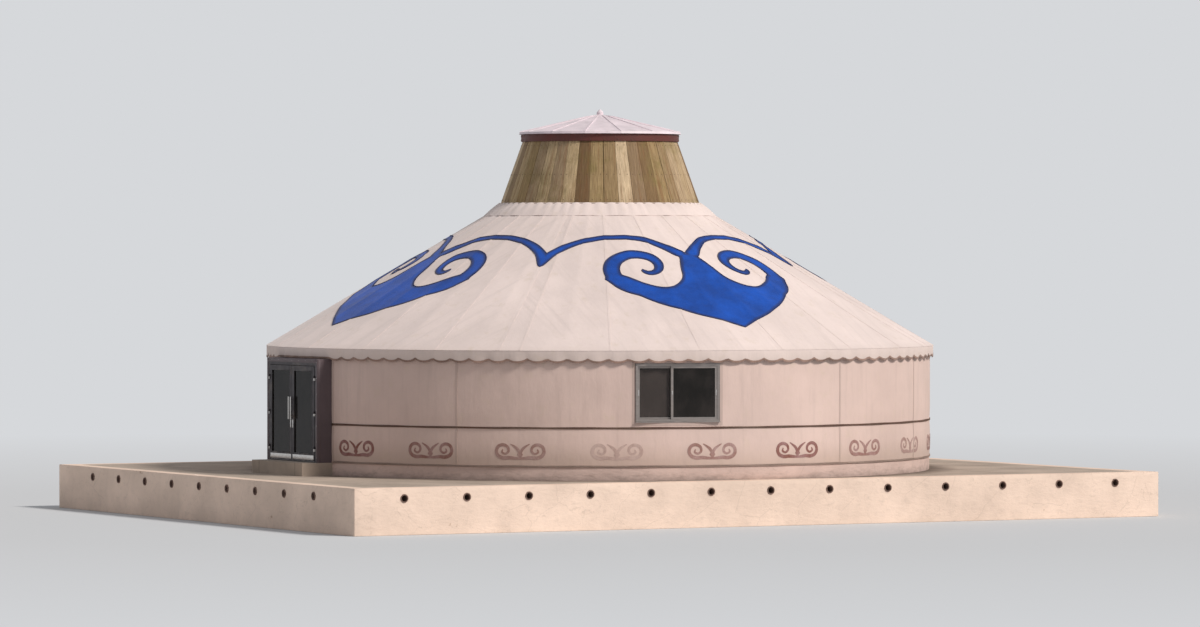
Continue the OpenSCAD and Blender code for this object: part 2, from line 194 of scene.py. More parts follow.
class Net:
    """Adds the nodes of one tree and links them"""

    def __init__(self, tree):
        self.tree = tree

    def feed(self, socket, value):
        """Links a node or a socket to an input, or sets its value."""
        if isinstance(value, bpy.types.Node):
            value = value.outputs[0]
        if isinstance(value, bpy.types.NodeSocket):
            self.tree.links.new(value, socket)
        else:
            socket.default_value = value

    def add(self, kind, inputs=None, **settings):
        """A new node with its settings and inputs."""
        node = self.tree.nodes.new(kind)
        place = len(self.tree.nodes)
        node.location = (210 * (place % 9), -260 * (place // 9))
        for name, value in settings.items():
            setattr(node, name, value)
        for key, value in (inputs or {}).items():
            self.feed(node.inputs[key], value)
        return node

    def math(self, operation, *values):
        """One sum."""
        return self.add("ShaderNodeMath", dict(enumerate(values)), operation=operation).outputs[0]

    def total(self, *values):
        """Several values added together."""
        return reduce(lambda one, other: self.math("ADD", one, other), values)

    def product(self, *values):
        """Several values multiplied together."""
        return reduce(lambda one, other: self.math("MULTIPLY", one, other), values)

    def minus(self, first, second):
        """One value less another."""
        return self.math("SUBTRACT", first, second)

    def across(self, x, y):
        """The long side of a right angle with sides x and y."""
        return self.math("SQRT", self.total(self.product(x, x), self.product(y, y)))

    def split(self, vector):
        """The three parts of a vector."""
        return self.add("ShaderNodeSeparateXYZ", {0: vector}).outputs

    def join(self, x, y, z):
        """A vector from its three parts."""
        return self.add("ShaderNodeCombineXYZ", {0: x, 1: y, 2: z}).outputs[0]

    def stretch(self, vector, x, y, z):
        """A vector with each part multiplied."""
        return self.add("ShaderNodeVectorMath", {0: vector, 1: (x, y, z)}, operation="MULTIPLY").outputs[0]

    def shifted(self, vector, by):
        """A vector moved by another."""
        return self.add("ShaderNodeVectorMath", {0: vector, 1: by}, operation="ADD").outputs[0]

    def noise(self, vector, scale, detail, roughness):
        """Cloudy noise from 0 to 1."""
        inputs = {"Vector": vector, "Scale": scale, "Detail": detail, "Roughness": roughness}
        return self.add("ShaderNodeTexNoise", inputs).outputs[0]

    def chance(self, value):
        """A random number from 0 to 1 for each value."""
        return self.add("ShaderNodeTexWhiteNoise", {"W": value}, noise_dimensions="1D").outputs[0]

    def span(self, value, low, high, to_low=0.0, to_high=1.0):
        """A value's range moved to another, clamped."""
        inputs = {0: value, 1: low, 2: high, 3: to_low, 4: to_high}
        return self.add("ShaderNodeMapRange", inputs).outputs[0]

    def blend(self, factor, first, second):
        """Two colours mixed."""
        inputs = {0: factor, 6: rgba(first), 7: rgba(second)}
        return self.add("ShaderNodeMix", inputs, data_type="RGBA").outputs[2]

    def mottled(self, mask, low, high, colour, dark, light):
        """A colour that clouds between two shades of itself."""
        return self.blend(self.span(mask, low, high), darker(colour, dark), darker(colour, light))

    def layered(self, base, *layers):
        """Colours laid on a base in turn: mask, its low and high, the cover at each, colour."""
        for mask, low, high, cover_low, cover_high, colour in layers:
            base = self.blend(self.span(mask, low, high, cover_low, cover_high), base, colour)
        return base

    def cloth(self):
        """Places along the cloth, in metres, from its own map."""
        return self.add("ShaderNodeUVMap", uv_map="cloth").outputs[0]

    def own(self, name):
        """A value that the mesh holds under a name."""
        return self.add("ShaderNodeAttribute", attribute_name=name).outputs["Fac"]

    def surface(self, colour, roughness, reliefs, shine, **constants):
        """The shader, with its reliefs, their depths in metres, and its constants."""
        shader = self.add("ShaderNodeBsdfPrincipled", {"Base Color": rgba(colour), "Roughness": roughness})
        under = None
        for value, depth in reliefs:
            bump = self.add("ShaderNodeBump", {"Height": value, "Distance": depth, "Strength": 1.0})
            if under:
                self.feed(bump.inputs["Normal"], under)
            under = bump
        self.feed(shader.inputs["Normal"], under)
        shader.inputs["Specular IOR Level"].default_value = shine
        for name, value in constants.items():
            shader.inputs[name.replace("_", " ")].default_value = value
        self.add("ShaderNodeOutputMaterial", {0: shader})


def rgba(colour):
    """A three-part colour with its alpha, or a socket as it is."""
    if isinstance(colour, (bpy.types.NodeSocket, bpy.types.Node)):
        return colour
    return (*tuple(colour)[:3], 1.0)


def darker(colour, amount):
    """A colour multiplied by an amount."""
    return tuple(min(1.0, part * amount) for part in tuple(colour)[:3])


# Finishes. Each is built from the object's own metres or its cloth map.


def woven(net, cloth, period):
    """Over and under of a plain weave, 0 to 1."""
    warp, weft = (net.math("SINE", net.product(way, 2.0 * pi / period)) for way in net.split(cloth)[:2])
    return net.math("MULTIPLY_ADD", net.product(warp, weft), 0.5, 0.5)


def canvas_finish(net, place, colour, streak, foot, reach_up):
    """Sun-bleached canvas: weave, creases, water streaks, panels and a dusty foot."""
    cloth = net.cloth()
    clouds = net.noise(place, 0.55, 6.0, 0.62)
    runs = net.noise(net.stretch(cloth, 7.0, streak, 1.0), 1.0, 5.0, 0.6)
    blotch = net.noise(place, 4.5, 5.0, 0.65)
    panel = net.chance(net.math("FLOOR", net.product(net.split(cloth)[0], 0.62)))
    level = net.total(net.split(place)[2], net.product(runs, 0.12))
    pale = net.layered(
        net.mottled(clouds, 0.35, 0.68, colour, 0.9, 1.06),
        (runs, 0.52, 0.78, 0.0, 0.45, darker(colour, 0.72)),
        (blotch, 0.56, 0.74, 0.0, 0.3, (0.62, 0.5, 0.36)),
        (panel, 0.0, 1.0, 0.0, 0.07, (0.5, 0.42, 0.36)),
        (level, foot, foot + reach_up, 0.5, 0.0, (0.36, 0.27, 0.19)),
    )
    creases = net.noise(net.stretch(cloth, 1.0, 0.45, 1.0), 3.2, 5.0, 0.6)
    reliefs = ((woven(net, cloth, 0.0026), 0.0005), (creases, 0.012))
    net.surface(pale, 0.86, reliefs, 0.2, Sheen_Weight=0.18, Sheen_Roughness=0.6)


def dyed_finish(net, place, colour, period):
    """Dyed cloth: faded clouds, worn nap and weave."""
    cloth = net.cloth()
    nap = net.noise(place, 38.0, 4.0, 0.7)
    worn = net.layered(
        net.mottled(net.noise(place, 1.6, 6.0, 0.65), 0.36, 0.68, colour, 0.62, 1.3),
        (nap, 0.5, 0.72, 0.0, 0.3, darker(colour, 1.7)),
    )
    reliefs = ((woven(net, cloth, period), 0.0006), (nap, 0.002))
    net.surface(worn, 0.88, reliefs, 0.2, Sheen_Weight=0.25, Sheen_Roughness=0.5)


def scroll_finish(net, place, colour, border):
    """Faded blue cloth with a darker band along its edge."""
    clouds = net.noise(place, 1.5, 6.0, 0.65)
    nap = net.noise(place, 42.0, 4.0, 0.7)
    edge = net.total(net.own("from_edge"), net.product(net.minus(clouds, 0.5), 0.05))
    worn = net.layered(
        net.mottled(clouds, 0.36, 0.68, colour, 0.72, 1.3),
        (nap, 0.5, 0.72, 0.0, 0.25, darker(colour, 1.8)),
        (edge, 0.03, 0.07, 0.85, 0.0, border),
    )
    reliefs = ((woven(net, net.cloth(), 0.003), 0.0006), (nap, 0.002))
    net.surface(worn, 0.88, reliefs, 0.15, Sheen_Weight=0.12, Sheen_Roughness=0.5)


def ornament_finish(net, place, colour, ground):
    """Sewn cloth that has faded towards the canvas, patch by patch."""
    clouds = net.noise(place, 3.2, 6.0, 0.7)
    nap = net.noise(place, 48.0, 4.0, 0.7)
    warm = net.blend(net.span(clouds, 0.4, 0.65), darker(colour, 0.8), (0.24, 0.09, 0.1))
    patches = net.span(clouds, 0.4, 0.75, -0.1, 0.35)
    loss = net.total(net.own("faded"), patches, net.span(nap, 0.45, 0.75, -0.05, 0.2))
    worn = net.blend(net.math("MINIMUM", loss, 0.95), warm, darker(ground, 0.86))
    reliefs = ((woven(net, net.cloth(), 0.003), 0.0006), (nap, 0.002))
    net.surface(worn, 0.9, reliefs, 0.2, Sheen_Weight=0.2)


def felt_finish(net, place, colour):
    """Pressed wool felt: matted fibres and grey-brown flecks."""
    matted = net.noise(place, 60.0, 6.0, 0.75)
    fleck = net.noise(net.stretch(place, 1.0, 1.0, 1.7), 23.0, 5.0, 0.7)
    wool = net.layered(
        net.mottled(net.noise(place, 1.3, 5.0, 0.6), 0.35, 0.65, colour, 0.75, 1.1),
        (fleck, 0.57, 0.7, 0.0, 0.6, (0.2, 0.15, 0.11)),
    )
    reliefs = ((matted, 0.006), (fleck, 0.004))
    net.surface(wool, 0.95, reliefs, 0.1, Sheen_Weight=0.4, Sheen_Roughness=0.7)


def rope_finish(net, place, colour, pitch):
    """Twisted hair rope with painted shade between its strands, bleached by splashes at the wall's foot."""
    cloth = net.cloth()
    along, around, _ = net.split(cloth)
    lay = net.total(net.product(along, 2.0 * pi / pitch), net.product(around, 6.0 * pi))
    strand = net.math("ABSOLUTE", net.math("SINE", lay))
    hair = net.noise(net.stretch(cloth, 90.0, 14.0, 1.0), 1.0, 4.0, 0.7)
    clouds = net.noise(place, 2.0, 4.0, 0.6)
    twist = net.layered(
        # The dark between strands is painted shade in the grooves.
        net.blend(strand, darker(colour, 0.35), darker(colour, 1.15)),
        (hair, 0.5, 0.75, 0.0, 0.5, darker(colour, 1.8)),
        (clouds, 0.4, 0.7, 0.0, 0.4, (0.32, 0.26, 0.2)),
        (net.split(place)[2], WALL_FOOT + 0.1, WALL_FOOT + 0.2, 0.75, 0.0, (0.58, 0.44, 0.38)),
    )
    net.surface(twist, 0.92, ((strand, 0.003), (hair, 0.001)), 0.15)


def wood_finish(net, place, colour, gloss, worn):
    """Bare wood: grain along its own map, and worn spots."""
    fibre = net.noise(net.stretch(net.cloth(), 2.2, 46.0, 1.0), 1.0, 6.0, 0.65)
    wood = net.layered(
        net.mottled(fibre, 0.36, 0.66, colour, 0.6, 1.15),
        (net.noise(place, 1.7, 4.0, 0.6), 0.35, 0.7, 0.0, 0.35, darker(colour, 0.55)),
        (net.noise(place, 6.5, 7.0, 0.7), 0.6, 0.68, 0.0, worn, (0.5, 0.37, 0.22)),
    )
    net.surface(wood, gloss, [(fibre, 0.0016)], 0.35)


def grain_finish(net, place, colour, direction, gloss, worn):
    """Painted wood with no map of its own: grain along a fixed direction."""
    fibre = net.noise(net.stretch(place, *direction), 1.0, 6.0, 0.65)
    wood = net.layered(
        net.mottled(fibre, 0.36, 0.66, colour, 0.62, 1.15),
        (net.noise(place, 2.1, 4.0, 0.6), 0.4, 0.7, 0.0, 0.35, darker(colour, 0.55)),
        (net.noise(place, 7.5, 7.0, 0.7), 0.6, 0.68, 0.0, worn, (0.5, 0.37, 0.22)),
    )
    net.surface(wood, gloss, [(fibre, 0.0015)], 0.35)


def board_finish(net, place, light, dark):
    """Weathered lantern boards: each its own tone, with grain and rain streaks."""
    shade = net.own("shade")
    moved = net.shifted(net.cloth(), net.join(net.product(shade, 31.0), net.product(shade, 17.0), 0.0))
    fibre = net.noise(net.stretch(moved, 55.0, 3.2, 1.0), 1.0, 6.0, 0.7)
    runs = net.noise(net.stretch(moved, 16.0, 0.7, 1.0), 1.0, 5.0, 0.65)
    clouds = net.noise(place, 1.9, 5.0, 0.65)
    base = net.layered(
        net.blend(shade, dark, light),
        (net.chance(net.product(shade, 7.3)), 0.25, 1.0, 0.0, 0.42, (0.38, 0.25, 0.055)),
        (clouds, 0.52, 0.7, 0.0, 0.55, (0.2, 0.17, 0.04)),
        (fibre, 0.42, 0.62, 0.45, 0.0, darker(dark, 0.6)),
        (runs, 0.53, 0.7, 0.0, 0.7, (0.2, 0.085, 0.03)),
    )
    net.surface(base, 0.78, [(fibre, 0.003)], 0.25)


def painted_finish(net, place, colour, gloss, chip, under):
    """Brush-painted sheet metal: chalking, dirt and chips down to metal."""
    clouds = net.noise(place, 1.9, 5.0, 0.6)
    brush = net.noise(net.stretch(place, 9.0, 9.0, 60.0), 1.0, 4.0, 0.6)
    chips = net.noise(place, 17.0, 7.0, 0.75)
    grime = net.noise(net.stretch(place, 5.0, 5.0, 1.1), 1.0, 5.0, 0.65)
    paint = net.layered(
        net.mottled(clouds, 0.36, 0.66, colour, 0.84, 1.06),
        (grime, 0.54, 0.74, 0.0, 0.4, darker(colour, 0.5)),
        (chips, 0.655, 0.675, 0.0, chip, under),
    )
    rough = net.span(clouds, 0.3, 0.7, gloss - 0.08, gloss + 0.12)
    net.surface(paint, rough, ((brush, 0.0006), (chips, 0.0012)), 0.5)


def metal_finish(net, place, colour, gloss, brushed, metallic):
    """Metal or rubber: drawing lines, finger marks and dust."""
    lines = net.noise(net.stretch(place, *brushed), 1.0, 3.0, 0.5)
    metal = net.layered(
        net.mottled(lines, 0.3, 0.7, colour, 0.86, 1.1),
        (net.noise(place, 2.4, 6.0, 0.7), 0.52, 0.75, 0.0, 0.35, (0.3, 0.24, 0.19)),
    )
    rough = net.span(net.noise(place, 9.0, 5.0, 0.65), 0.35, 0.7, gloss, gloss + 0.18)
    net.surface(metal, rough, [(lines, 0.0003)], 0.5, Metallic=metallic)


def glass_finish(net, place, colour, dust_and_reflection_colour, inner, shine):
    """Tinted panes: dusty, with the sliding pane on the inner track paler as a painted reflection."""
    x, y, z = net.split(place)
    swirl = net.noise(place, 2.6, 6.0, 0.7)
    wipe = net.noise(net.stretch(place, 2.0, 2.0, 0.7), 3.0, 4.0, 0.6)
    low = net.span(net.total(z, net.product(wipe, 0.6)), 1.4, 2.5, 0.09, 0.0)
    dust_and_reflection_film = net.total(net.span(swirl, 0.45, 0.75, 0.01, 0.09), low)
    # A paler film on the inner track's pane paints a reflection.
    if inner:
        out = radians(WINDOW_ANGLE)
        side = net.math("ABSOLUTE", x)
        flat = net.total(net.product(side, sin(out)), net.product(y, -cos(out)))
        dust_and_reflection_film = net.total(dust_and_reflection_film, net.span(flat, *INNER_TRACK, 0.16, 0.0))
    tint = net.blend(dust_and_reflection_film, colour, dust_and_reflection_colour)
    rough = net.span(wipe, 0.35, 0.7, 0.03, 0.14)
    net.surface(tint, rough, [(wipe, 0.0012)], shine, Transmission_Weight=0.5, IOR=1.25)


def plaster_finish(net, place, colour, stain, foot):
    """Whitewashed plaster: trowel marks, cracks, splashes near the foot (on the curb a dark band of dirt and
    painted shade) and bare spots.
    """
    clouds = net.noise(place, 0.9, 6.0, 0.62)
    trowel = net.noise(net.stretch(place, 1.0, 1.0, 2.4), 5.0, 6.0, 0.6)
    crumb = net.noise(place, 70.0, 5.0, 0.7)
    warped = net.noise(place, 3.0, 5.0, 0.6)
    moved = net.shifted(place, net.join(warped, warped, warped))
    crack = net.add("ShaderNodeTexVoronoi", {"Vector": moved, "Scale": 1.4}, feature="DISTANCE_TO_EDGE")
    splash_and_foot_shade = net.total(net.split(place)[2], net.product(trowel, 0.35), net.product(crumb, 0.1))
    wash = net.layered(
        net.mottled(clouds, 0.36, 0.66, colour, 0.86, 1.05),
        (trowel, 0.56, 0.75, 0.0, 0.4, darker(colour, 0.68)),
        (crack.outputs["Distance"], 0.0, 0.009, 0.22, 0.0, (0.18, 0.13, 0.09)),
        # Near the foot: lime splashes on the platform, dirt with painted shade on the curb.
        (splash_and_foot_shade, foot, foot + 0.22, 0.62, 0.0, stain),
        (net.noise(place, 2.2, 8.0, 0.7), 0.67, 0.69, 0.0, 0.7, (0.42, 0.26, 0.16)),
    )
    net.surface(wash, 0.93, ((trowel, 0.012), (crumb, 0.0025)), 0.15)


def cement_finish(net, place, colour, ring):
    """Trowelled cement: joints every 1.5 m, stains, and dirt with painted shade against a ring."""
    x, y, _ = net.split(place)
    clouds = net.noise(place, 0.8, 6.0, 0.6)
    sand = net.noise(place, 120.0, 4.0, 0.7)
    stain = net.noise(place, 3.1, 6.0, 0.65)
    parts = [net.math("FRACT", net.product(way, 0.667)) for way in (x, y)]
    joint = net.math("MINIMUM", *[net.math("ABSOLUTE", net.minus(part, 0.5)) for part in parts])
    away = net.total(net.across(x, y), net.product(stain, 0.5))
    grey = net.layered(
        net.mottled(clouds, 0.35, 0.66, colour, 0.8, 1.1),
        (stain, 0.55, 0.72, 0.0, 0.4, darker(colour, 0.6)),
        (joint, 0.003, 0.007, 0.75, 0.0, (0.1, 0.08, 0.06)),
        # Darkest up to 0.3 m from the ring, gone by 0.8 m: painted shade with dirt at the curb's foot.
        (away, ring + 0.3, ring + 0.8, 0.85, 0.0, (0.12, 0.09, 0.07)),
    )
    reliefs = ((sand, 0.0015), (net.span(joint, 0.003, 0.007, 0.25, 1.0), 0.006))
    net.surface(grey, 0.9, reliefs, 0.2)


def earth_finish(net, place, colour, stones):
    """Rammed earth and rubble, or fired clay: stones, pits and damp."""
    stone = net.add("ShaderNodeTexVoronoi", {"Vector": place, "Scale": stones}).outputs["Distance"]
    grit = net.noise(place, 80.0, 5.0, 0.7)
    soil = net.layered(
        net.mottled(net.noise(place, 1.4, 6.0, 0.65), 0.35, 0.68, colour, 0.7, 1.15),
        (stone, 0.1, 0.5, 0.45, 0.0, darker(colour, 1.4)),
        (grit, 0.5, 0.7, 0.0, 0.3, darker(colour, 0.5)),
    )
    net.surface(soil, 0.94, ((stone, 0.01), (grit, 0.003)), 0.15)


def recipes(colours):
    """Every finish: its builder, its colour and its settings."""
    lime = (0.42, 0.31, 0.2)
    wall_dust = (0.6, WALL_FOOT - 0.08, 0.55)
    steel_lines = (4.0, 4.0, 160.0)
    door_lines = (90.0, 90.0, 5.0)
    window_lines = (6.0, 6.0, 90.0)
    return {
        "Roof canvas": (canvas_finish, colours.roof, 0.35, 2.7, 0.5),
        "Wall canvas": (canvas_finish, colours.wall, *wall_dust),
        # Hems are darker than the wall: partly painted shade lines along seams and round the openings.
        "Hem canvas": (canvas_finish, darker(colours.wall, 0.8), *wall_dust),
        "Wool felt": (felt_finish, colours.felt),
        "Scroll cloth": (scroll_finish, colours.scroll, colours.piping),
        "Wall ornament": (ornament_finish, colours.ornament, colours.wall),
        "Hem tape": (dyed_finish, colours.hem, 0.004),
        "Navy piping": (rope_finish, colours.piping, 0.03),
        "Hair rope": (rope_finish, colours.rope, 0.05),
        "Rawhide": (grain_finish, (0.42, 0.26, 0.13), (40.0, 40.0, 40.0), 0.6, 0.2),
        "Willow lath": (wood_finish, colours.lath, 0.7, 0.2),
        "Worn boards": (wood_finish, colours.floor, 0.6, 0.35),
        "Weathered boards": (board_finish, colours.board_light, colours.board_dark),
        "Painted pole": (grain_finish, colours.pole, (14.0, 14.0, 8.0), 0.5, 0.7),
        "Painted crown": (grain_finish, colours.crown, (5.0, 5.0, 40.0), 0.48, 0.6),
        "Painted ring": (painted_finish, colours.ring, 0.6, 0.8, (0.22, 0.16, 0.1)),
        "Painted cap": (painted_finish, colours.cap, 0.5, 0.5, (0.35, 0.2, 0.12)),
        "Painted door sheet": (painted_finish, colours.surround, 0.5, 0.6, (0.2, 0.12, 0.08)),
        "Rusty iron": (painted_finish, (0.11, 0.055, 0.035), 0.7, 0.5, (0.25, 0.1, 0.05)),
        "Brushed steel": (metal_finish, (0.6, 0.58, 0.56), 0.22, steel_lines, 1.0),
        "Dark anodised metal": (metal_finish, colours.door, 0.34, door_lines, 0.6),
        "Anodised metal": (metal_finish, colours.window, 0.36, window_lines, 0.6),
        "Black rubber": (metal_finish, (0.018, 0.017, 0.016), 0.6, (30.0, 30.0, 30.0), 0.0),
        # Its film colour also paints the inner pane's reflection.
        "Window glass": (glass_finish, darker(colours.glass, 0.16), (0.5, 0.4, 0.37), True, 0.3),
        "Door glass": (glass_finish, darker(colours.glass, 0.08), (0.3, 0.25, 0.24), False, 0.12),
        "Whitewashed masonry": (plaster_finish, colours.masonry, lime, 0.12),
        "Whitewashed coat": (plaster_finish, colours.masonry, lime, 0.02),
        # The curb's near-black stain paints a band of shade with dirt along its foot.
        "Whitewashed curb": (plaster_finish, colours.wall, (0.08, 0.055, 0.04), CURB_FOOT + 0.12),
        # Against the curb's round the slab darkens with painted shade and dirt.
        "Cement": (cement_finish, colours.cement, CURB_RADIUS),
        "Sill cement": (cement_finish, colours.cement, 0.0),
        "Fired clay": (earth_finish, colours.clay, 24.0),
        "Rammed earth": (earth_finish, colours.earth, 9.0),
    }


def made_finish(name, build, *values):
    """A new material with its tree built."""
    material = bpy.data.materials.new(name)
    material.use_nodes = True
    material.node_tree.nodes.clear()
    net = Net(material.node_tree)
    build(net, net.add("ShaderNodeTexCoord").outputs["Object"], *values)
    return material


def finish(name):
    """The finish of that name, made once."""
    made = bpy.data.materials.get(name)
    return made or made_finish(name, *recipes(bpy.context.scene.tent_colours)[name])


def finish_frame():
    """Gives every CAD node its real finish."""
    finishes = {
        "Whitewashed masonry": ["platform_wall_" + side for side in SIDES],
        "Rammed earth": ["platform_fill"], "Fired clay": ["drain_pipes"],
        "Cement": ["platform_slab", "floor"], "Sill cement": ["door_sill"],
        "Whitewashed curb": ["base_curb"], "Painted door sheet": ["door_surround"],
        "Dark anodised metal": ["door_frame", "door_leaf_left", "door_leaf_right"],
        "Brushed steel": ["door_hinges", "door_handle_left", "door_handle_right"],
        "Door glass": ["door_glass_left", "door_glass_right"], "Window glass": ["window_glass"],
        "Anodised metal": ["window_frames", "window_sashes"], "Painted pole": ["roof_poles"],
        "Painted crown": ["wall_top_ring", "crown_ring"], "Painted ring": ["lantern_ring"],
        "Painted cap": ["lantern_cap", "cap_knob"],
    }
    for title, names in finishes.items():
        for name in names:
            for place in NODES[name].material_slots:
                place.material = finish(title)


# Meshes and trees that several pieces share.


def flat_mesh(name, points, faces=(), edges=(), cloth=None):
    """A mesh from its points, with its cloth map in metres."""
    mesh = bpy.data.meshes.new(name)
    mesh.from_pydata([tuple(map(float, point)) for point in points], list(edges), list(faces))
    if cloth is not None and len(mesh.loops):
        corner = np.empty(len(mesh.loops), dtype=np.int32)
        mesh.loops.foreach_get("vertex_index", corner)
        layer = mesh.uv_layers.new(name="cloth")
        layer.data.foreach_set("uv", np.asarray(cloth, dtype=np.float32)[corner].ravel())
    return mesh


def compacted(groups):
    """The corners in use, and the faces or edges counted anew."""
    used = sorted({corner for group in groups for corner in group})
    order = {corner: place for place, corner in enumerate(used)}
    return used, [tuple(order[corner] for corner in group) for group in groups]


def grid(columns, rows, flip, keep=None):
    """Points and faces of a grid, less the cells that keep turns down."""
    wide = len(columns)
    faces = []
    for j in range(len(rows) - 1):
        for i in range(wide - 1):
            if keep and not keep((columns[i] + columns[i + 1]) / 2, (rows[j] + rows[j + 1]) / 2):
                continue
            corner = j * wide + i
            face = (corner, corner + 1, corner + wide + 1, corner + wide)
            faces.append(face[::-1] if flip else face)
    used, faces = compacted(faces)
    return [(columns[corner % wide], rows[corner // wide]) for corner in used], faces


def steps(first, last, stride, *marks):
    """Evenly spaced values that also hold every mark exactly."""
    stops = sorted({first, last, *[mark for mark in marks if first < mark < last]})
    values = [stops[0]]
    for start, end in zip(stops, stops[1:]):
        count = max(1, round((end - start) / stride))
        values += [start + (end - start) * step / count for step in range(1, count + 1)]
    return values


def band(columns, rows, inwards=False):
    """Faces of a band whose points run down each column in turn."""
    faces = []
    for i in range(len(columns) - 1):
        for j in range(rows - 1):
            a = i * rows + j
            b = a + rows
            faces.append((a, b, b + 1, a + 1) if inwards else (a, a + 1, b + 1, b))
    return faces


def row_edges(first, count):
    """Edges along a row of points."""
    return [(first + step, first + step + 1) for step in range(count - 1)]


def ring_edges(first, count):
    """Edges round a ring of points."""
    return [(first + step, first + (step + 1) % count) for step in range(count)]


def on_ring(angle, radius, z):
    """A point at an angle from the door."""
    turn = radians(angle)
    return (radius * sin(turn), -radius * cos(turn), z)


def new_tree(name, inputs):
    """An empty geometry tree with named inputs; None asks for an object."""
    kinds = {float: "Float", int: "Int", type(None): "Object"}
    tree = bpy.data.node_groups.new(name, "GeometryNodeTree")
    add_socket = tree.interface.new_socket
    add_socket("Geometry", in_out="INPUT", socket_type="NodeSocketGeometry")
    for label, value in inputs.items():
        socket = add_socket(label, in_out="INPUT", socket_type="NodeSocket" + kinds[type(value)])
        if value is not None:
            socket.default_value = value
    add_socket("Material", in_out="INPUT", socket_type="NodeSocketMaterial")
    add_socket("Geometry", in_out="OUTPUT", socket_type="NodeSocketGeometry")
    net = Net(tree)
    return net, net.add("NodeGroupInput").outputs


def end_tree(net, source, geometry):
    """Makes the instances real, sets the material and ends the tree."""
    real = net.add("GeometryNodeRealizeInstances", {0: geometry})
    painted = net.add("GeometryNodeSetMaterial", {"Geometry": real, "Material": source["Material"]})
    net.add("NodeGroupOutput", {0: painted})
    return net.tree


def end_round(net, source, radius, ways, level):
    """Puts every point at its radius and level, and ends the tree."""
    spot = round_place(net, radius, ways, level)
    placed = net.add("GeometryNodeSetPosition", {"Geometry": source["Geometry"], "Position": spot})
    return end_tree(net, source, placed)


def ways_of(net, angle):
    """Sine and cosine of an angle in degrees."""
    turn = net.math("RADIANS", angle)
    return net.math("SINE", turn), net.math("COSINE", turn)


def round_place(net, radius, ways, level):
    """The place at a radius and a level."""
    return net.join(net.product(radius, ways[0]), net.product(radius, ways[1], -1.0), level)


def tree_named(name, build):
    """The tree of that name, built once."""
    return bpy.data.node_groups.get(name) or build(name)


def roof_tree(name):
    """Lays a pattern of degrees, share of the slope and lift on the sagging roof."""
    net, source = new_tree(name, {
        "Crown radius": CROWN_RADIUS, "Eave radius": EAVE_RADIUS, "Crown height": CROWN_TOP,
        "Eave height": EAVE_TOP, "Pole spacing": 7.5, "Sag": 0.015, "Ripple": 0.012,
    })
    angle, share, lift = net.split(net.add("GeometryNodeInputPosition"))
    run = net.minus(source["Eave radius"], source["Crown radius"])
    fall = net.minus(source["Crown height"], source["Eave height"])
    slope = net.across(run, fall)
    radius = net.total(source["Crown radius"], net.product(share, run))
    level = net.minus(source["Crown height"], net.product(share, fall))
    part = net.math("FRACT", net.minus(net.math("DIVIDE", angle, source["Pole spacing"]), 0.5))
    belly = net.product(part, net.minus(1.0, part), 4.0)
    held = net.minus(1.0, net.math("POWER", share, 8.0))
    drop = net.product(belly, held, net.math("MULTIPLY_ADD", share, 0.7, 0.3), source["Sag"])
    ways = ways_of(net, angle)
    clouds = net.noise(round_place(net, radius, ways, level), 1.1, 3.0, 0.5)
    around = net.join(*[net.product(way, 16.0) for way in ways], net.product(share, 0.9))
    ripple = net.total(clouds, net.product(net.noise(around, 1.0, 2.0, 0.5), 0.8))
    ripple = net.product(net.minus(ripple, 0.9), source["Ripple"], held)
    lifted = net.total(net.minus(lift, drop), ripple)
    radius = net.total(radius, net.product(net.math("DIVIDE", fall, slope), lifted))
    level = net.total(level, net.product(net.math("DIVIDE", run, slope), lifted))
    return end_round(net, source, radius, ways, level)


def wall_tree(name):
    """Lays a pattern of degrees, height and lift round the slack wall."""
    net, source = new_tree(name, {
        "Radius": WALL_RADIUS, "Low tie": WALL_FOOT, "High tie": WINDOW_LOW, "Top tie": WALL_TOP,
        "Slack": 0.008, "Folds": 0.008,
    })
    angle, level, lift = net.split(net.add("GeometryNodeInputPosition"))
    free = 1.0
    for tie in ("Low tie", "High tie", "Top tie"):
        near = net.math("DIVIDE", net.minus(level, source[tie]), 0.14)
        close = net.math("EXPONENT", net.product(near, near, -1.0))
        free = net.product(free, net.minus(1.0, close))
    ways = ways_of(net, angle)
    around = net.join(*[net.product(way, 15.0) for way in ways], net.product(level, 0.9))
    fine = net.noise(net.stretch(around, 4.0, 4.0, 2.0), 1.0, 2.0, 0.5)
    fold = net.minus(net.total(net.noise(around, 1.0, 3.0, 0.55), net.product(fine, 0.35)), 0.68)
    hang = net.product(fold, source["Folds"], net.math("MULTIPLY_ADD", free, 0.75, 0.25))
    radius = net.total(source["Radius"], lift, net.product(free, source["Slack"]), hang)
    return end_round(net, source, radius, ways, level)


def stored(net, geometry, name, value, kind="FLOAT", domain="POINT"):
    """A geometry with a value kept under a name."""
    inputs = {"Geometry": geometry, "Name": name, "Value": value}
    return net.add("GeometryNodeStoreNamedAttribute", inputs, data_type=kind, domain=domain)


def swept(net, curve, profile):
    """A profile swept along a curve, with its cloth map."""
    spline = net.add("GeometryNodeSplineParameter").outputs
    curve = stored(net, curve, "along", spline["Length"])
    profile = stored(net, profile, "around", spline["Factor"])
    mesh = net.add("GeometryNodeCurveToMesh", {"Curve": curve, "Profile Curve": profile, "Fill Caps": True})
    kept = [
        net.add("GeometryNodeInputNamedAttribute", {"Name": name}, data_type="FLOAT")
        for name in ("along", "around")
    ]
    return stored(net, mesh, "cloth", net.join(*kept, 0.0), "FLOAT2", "CORNER")


